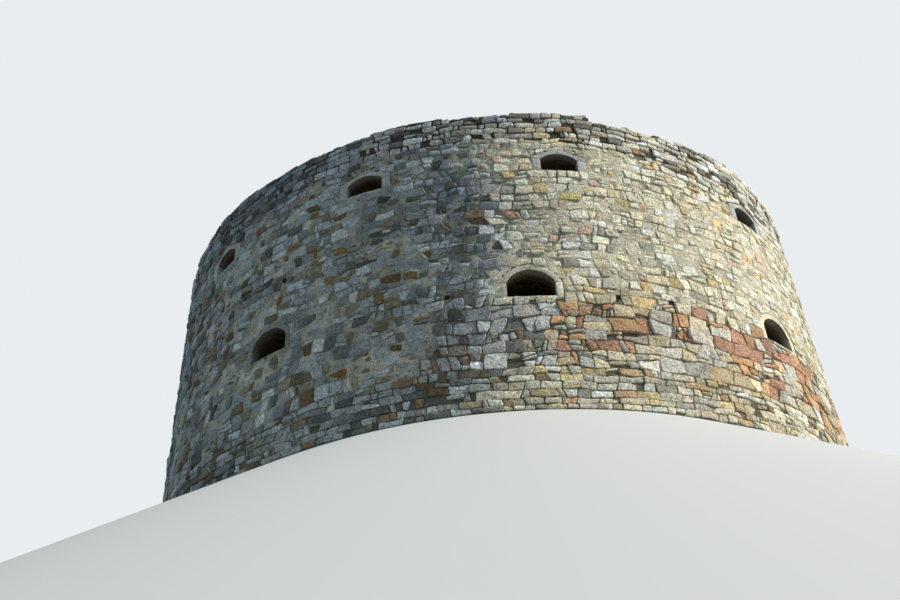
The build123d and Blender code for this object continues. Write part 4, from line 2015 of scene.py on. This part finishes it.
@dataclass
class Studio:
    """Soft light from the right, a cool fill, and a pale background."""

    key: float = 4.65
    key_azimuth: float = 84.0
    key_height: float = 42.0
    key_width: float = 4.0
    key_colour: Colour = (1.0, 0.955, 0.87)
    fill: float = 0.55
    fill_low: float = 0.22
    fill_heights: Point = (-0.2, 0.7)
    fill_colour: Colour = (0.66, 0.86, 1.0)
    background: str = "e9edf0"

    def build(self) -> None:
        """Makes the lamp and the world."""
        self._lamp()
        self._world()
        bpy.context.scene.view_settings.view_transform = "Standard"
        bpy.context.scene.view_settings.look = "None"

    def _lamp(self) -> None:
        """Makes the soft lamp."""
        lamp = bpy.data.lights.new("key", "SUN")
        lamp.energy = self.key
        lamp.angle = math.radians(self.key_width)
        lamp.color = self.key_colour
        key = bpy.data.objects.new("key", lamp)
        bpy.context.scene.collection.objects.link(key)
        height = math.radians(self.key_height)
        source = Vector(around(math.radians(self.key_azimuth), math.cos(height), math.sin(height)))
        key.rotation_mode = "QUATERNION"
        key.rotation_quaternion = source.to_track_quat("Z", "Y")

    def _world(self) -> None:
        """Makes the world: the fill for what it lights, and the pale background for what shows it."""
        world = bpy.data.worlds.new("studio")
        bpy.context.scene.world = world
        world.use_nodes = True
        tree = world.node_tree
        tree.nodes.clear()
        output = tree.nodes.new("ShaderNodeOutputWorld")
        mixer = tree.nodes.new("ShaderNodeMixShader")
        soft, seen = tree.nodes.new("ShaderNodeBackground"), tree.nodes.new("ShaderNodeBackground")
        soft.inputs[0].default_value = (*self.fill_colour, 1.0)
        tree.links.new(self._fill_strength(tree), soft.inputs[1])
        seen.inputs[0].default_value = (*colour(self.background), 1.0)
        seen.inputs[1].default_value = 1.0
        tree.links.new(self._shown(tree), mixer.inputs[0])
        tree.links.new(soft.outputs[0], mixer.inputs[1])
        tree.links.new(seen.outputs[0], mixer.inputs[2])
        tree.links.new(mixer.outputs[0], output.inputs["Surface"])

    def _fill_strength(self, tree: bpy.types.NodeTree) -> bpy.types.NodeSocket:
        """Makes the fill weaker from below, as light off the ground is.

        Args:
            tree: the world's nodes.

        Returns:
            The fill's strength, by direction.
        """
        up = tree.nodes.new("ShaderNodeSeparateXYZ")
        tree.links.new(tree.nodes.new("ShaderNodeTexCoord").outputs["Generated"], up.inputs[0])
        strength = tree.nodes.new("ShaderNodeMapRange")
        tree.links.new(up.outputs["Z"], strength.inputs["Value"])
        for name, value in zip(RANGE_SOCKETS, (*self.fill_heights, self.fill_low, self.fill)):
            strength.inputs[name].default_value = value
        return strength.outputs["Result"]

    @staticmethod
    def _shown(tree: bpy.types.NodeTree) -> bpy.types.NodeSocket:
        """Picks the rays that see the background itself.

        Args:
            tree: the world's nodes.

        Returns:
            1 for camera, glossy and transmission rays, and 0 for the rest.
        """
        path = tree.nodes.new("ShaderNodeLightPath")
        shown = path.outputs["Is Camera Ray"]
        for ray in ("Is Glossy Ray", "Is Transmission Ray"):
            either = tree.nodes.new("ShaderNodeMath")
            either.operation = "MAXIMUM"
            tree.links.new(shown, either.inputs[0])
            tree.links.new(path.outputs[ray], either.inputs[1])
            shown = either.outputs[0]
        return shown


@dataclass
class PhotoCamera:
    """The camera of the photograph, below the tower and looking up."""

    away: float = 3.643 * TOWER.rim_radius
    under_rim: float = 2.3492 * TOWER.rim_radius
    focal_pixels: float = 1246.3
    photo_width: int = 900
    sensor: float = 36.0
    far: float = 1000.0
    yaw: float = -2.027
    pitch: float = 33.312
    roll: float = -3.838

    def build(self) -> None:
        """Makes the camera."""
        data = bpy.data.cameras.new("photo camera")
        data.sensor_width = self.sensor
        data.lens = self.focal_pixels * self.sensor / self.photo_width
        data.clip_end = self.far
        camera = bpy.data.objects.new("photo camera", data)
        bpy.context.scene.collection.objects.link(camera)
        yaw, pitch, roll = (math.radians(v) for v in (self.yaw, self.pitch, self.roll))
        forward = Vector((math.sin(yaw) * math.cos(pitch), math.cos(yaw) * math.cos(pitch), math.sin(pitch)))
        level = Vector((math.cos(yaw), -math.sin(yaw), 0.0))
        upward = level.cross(forward)
        right = math.cos(roll) * level + math.sin(roll) * upward
        up = -math.sin(roll) * level + math.cos(roll) * upward
        axes = Matrix((right, up, -forward)).transposed().to_4x4()
        axes.translation = Vector((0.0, -self.away, TOWER.height - self.under_rim))
        camera.matrix_world = axes
        bpy.context.scene.camera = camera


def main() -> None:
    logging.basicConfig(level=logging.INFO, format="%(name)s: %(message)s")
    noise.seed_set(NOISE_SEED)
    stone = StoneFinish("weathered stone").material()
    dressed = StoneFinish("dressed stone", grain=22.0, relief=0.01, lichen=0.35).material()
    flags = StoneFinish("worn flags", grain=20.0, relief=0.008, lichen=0.35).material()
    CoreFinishes().build()
    LOG.info("face stones: %d", OuterMasonry().build(stone))
    coat = MortarFinish("pointing", "e8e0c9", "bfb69f", grain=22.0, relief=0.034, tinted=True)
    Pointing().build(coat.material())
    LOG.info("head stones: %d", WallCrown().build(stone))
    parapet = InnerMasonry(
        "parapet_stones", radius=TOWER.platform_radius, floor=TOWER.platform_level, height=3.3,
        mouths=UPPER_MOUTHS, splay=1.5, seed=23, head=True,
    )
    LOG.info("parapet stones: %d", parapet.build(stone, "rubble_masonry"))
    platform = Paving("platform_flags", radius=8.97, level=TOWER.platform_level, hollow=0.0, seed=29)
    LOG.info("platform flags: %d", platform.build(flags))
    gallery = Paving("gallery_flags", radius=7.77, level=TOWER.gallery_level, hollow=1.95, seed=31)
    LOG.info("gallery flags: %d", gallery.build(flags))
    Dressings().build(dressed)
    # The putlog plugs' near-black mortar is painted shade.
    Putlogs().build(MortarFinish("hollow", "1d1a15", "12100c").material())
    Mound().build()
    Studio().build()
    PhotoCamera().build()


if __name__ == "__main__":
    main()
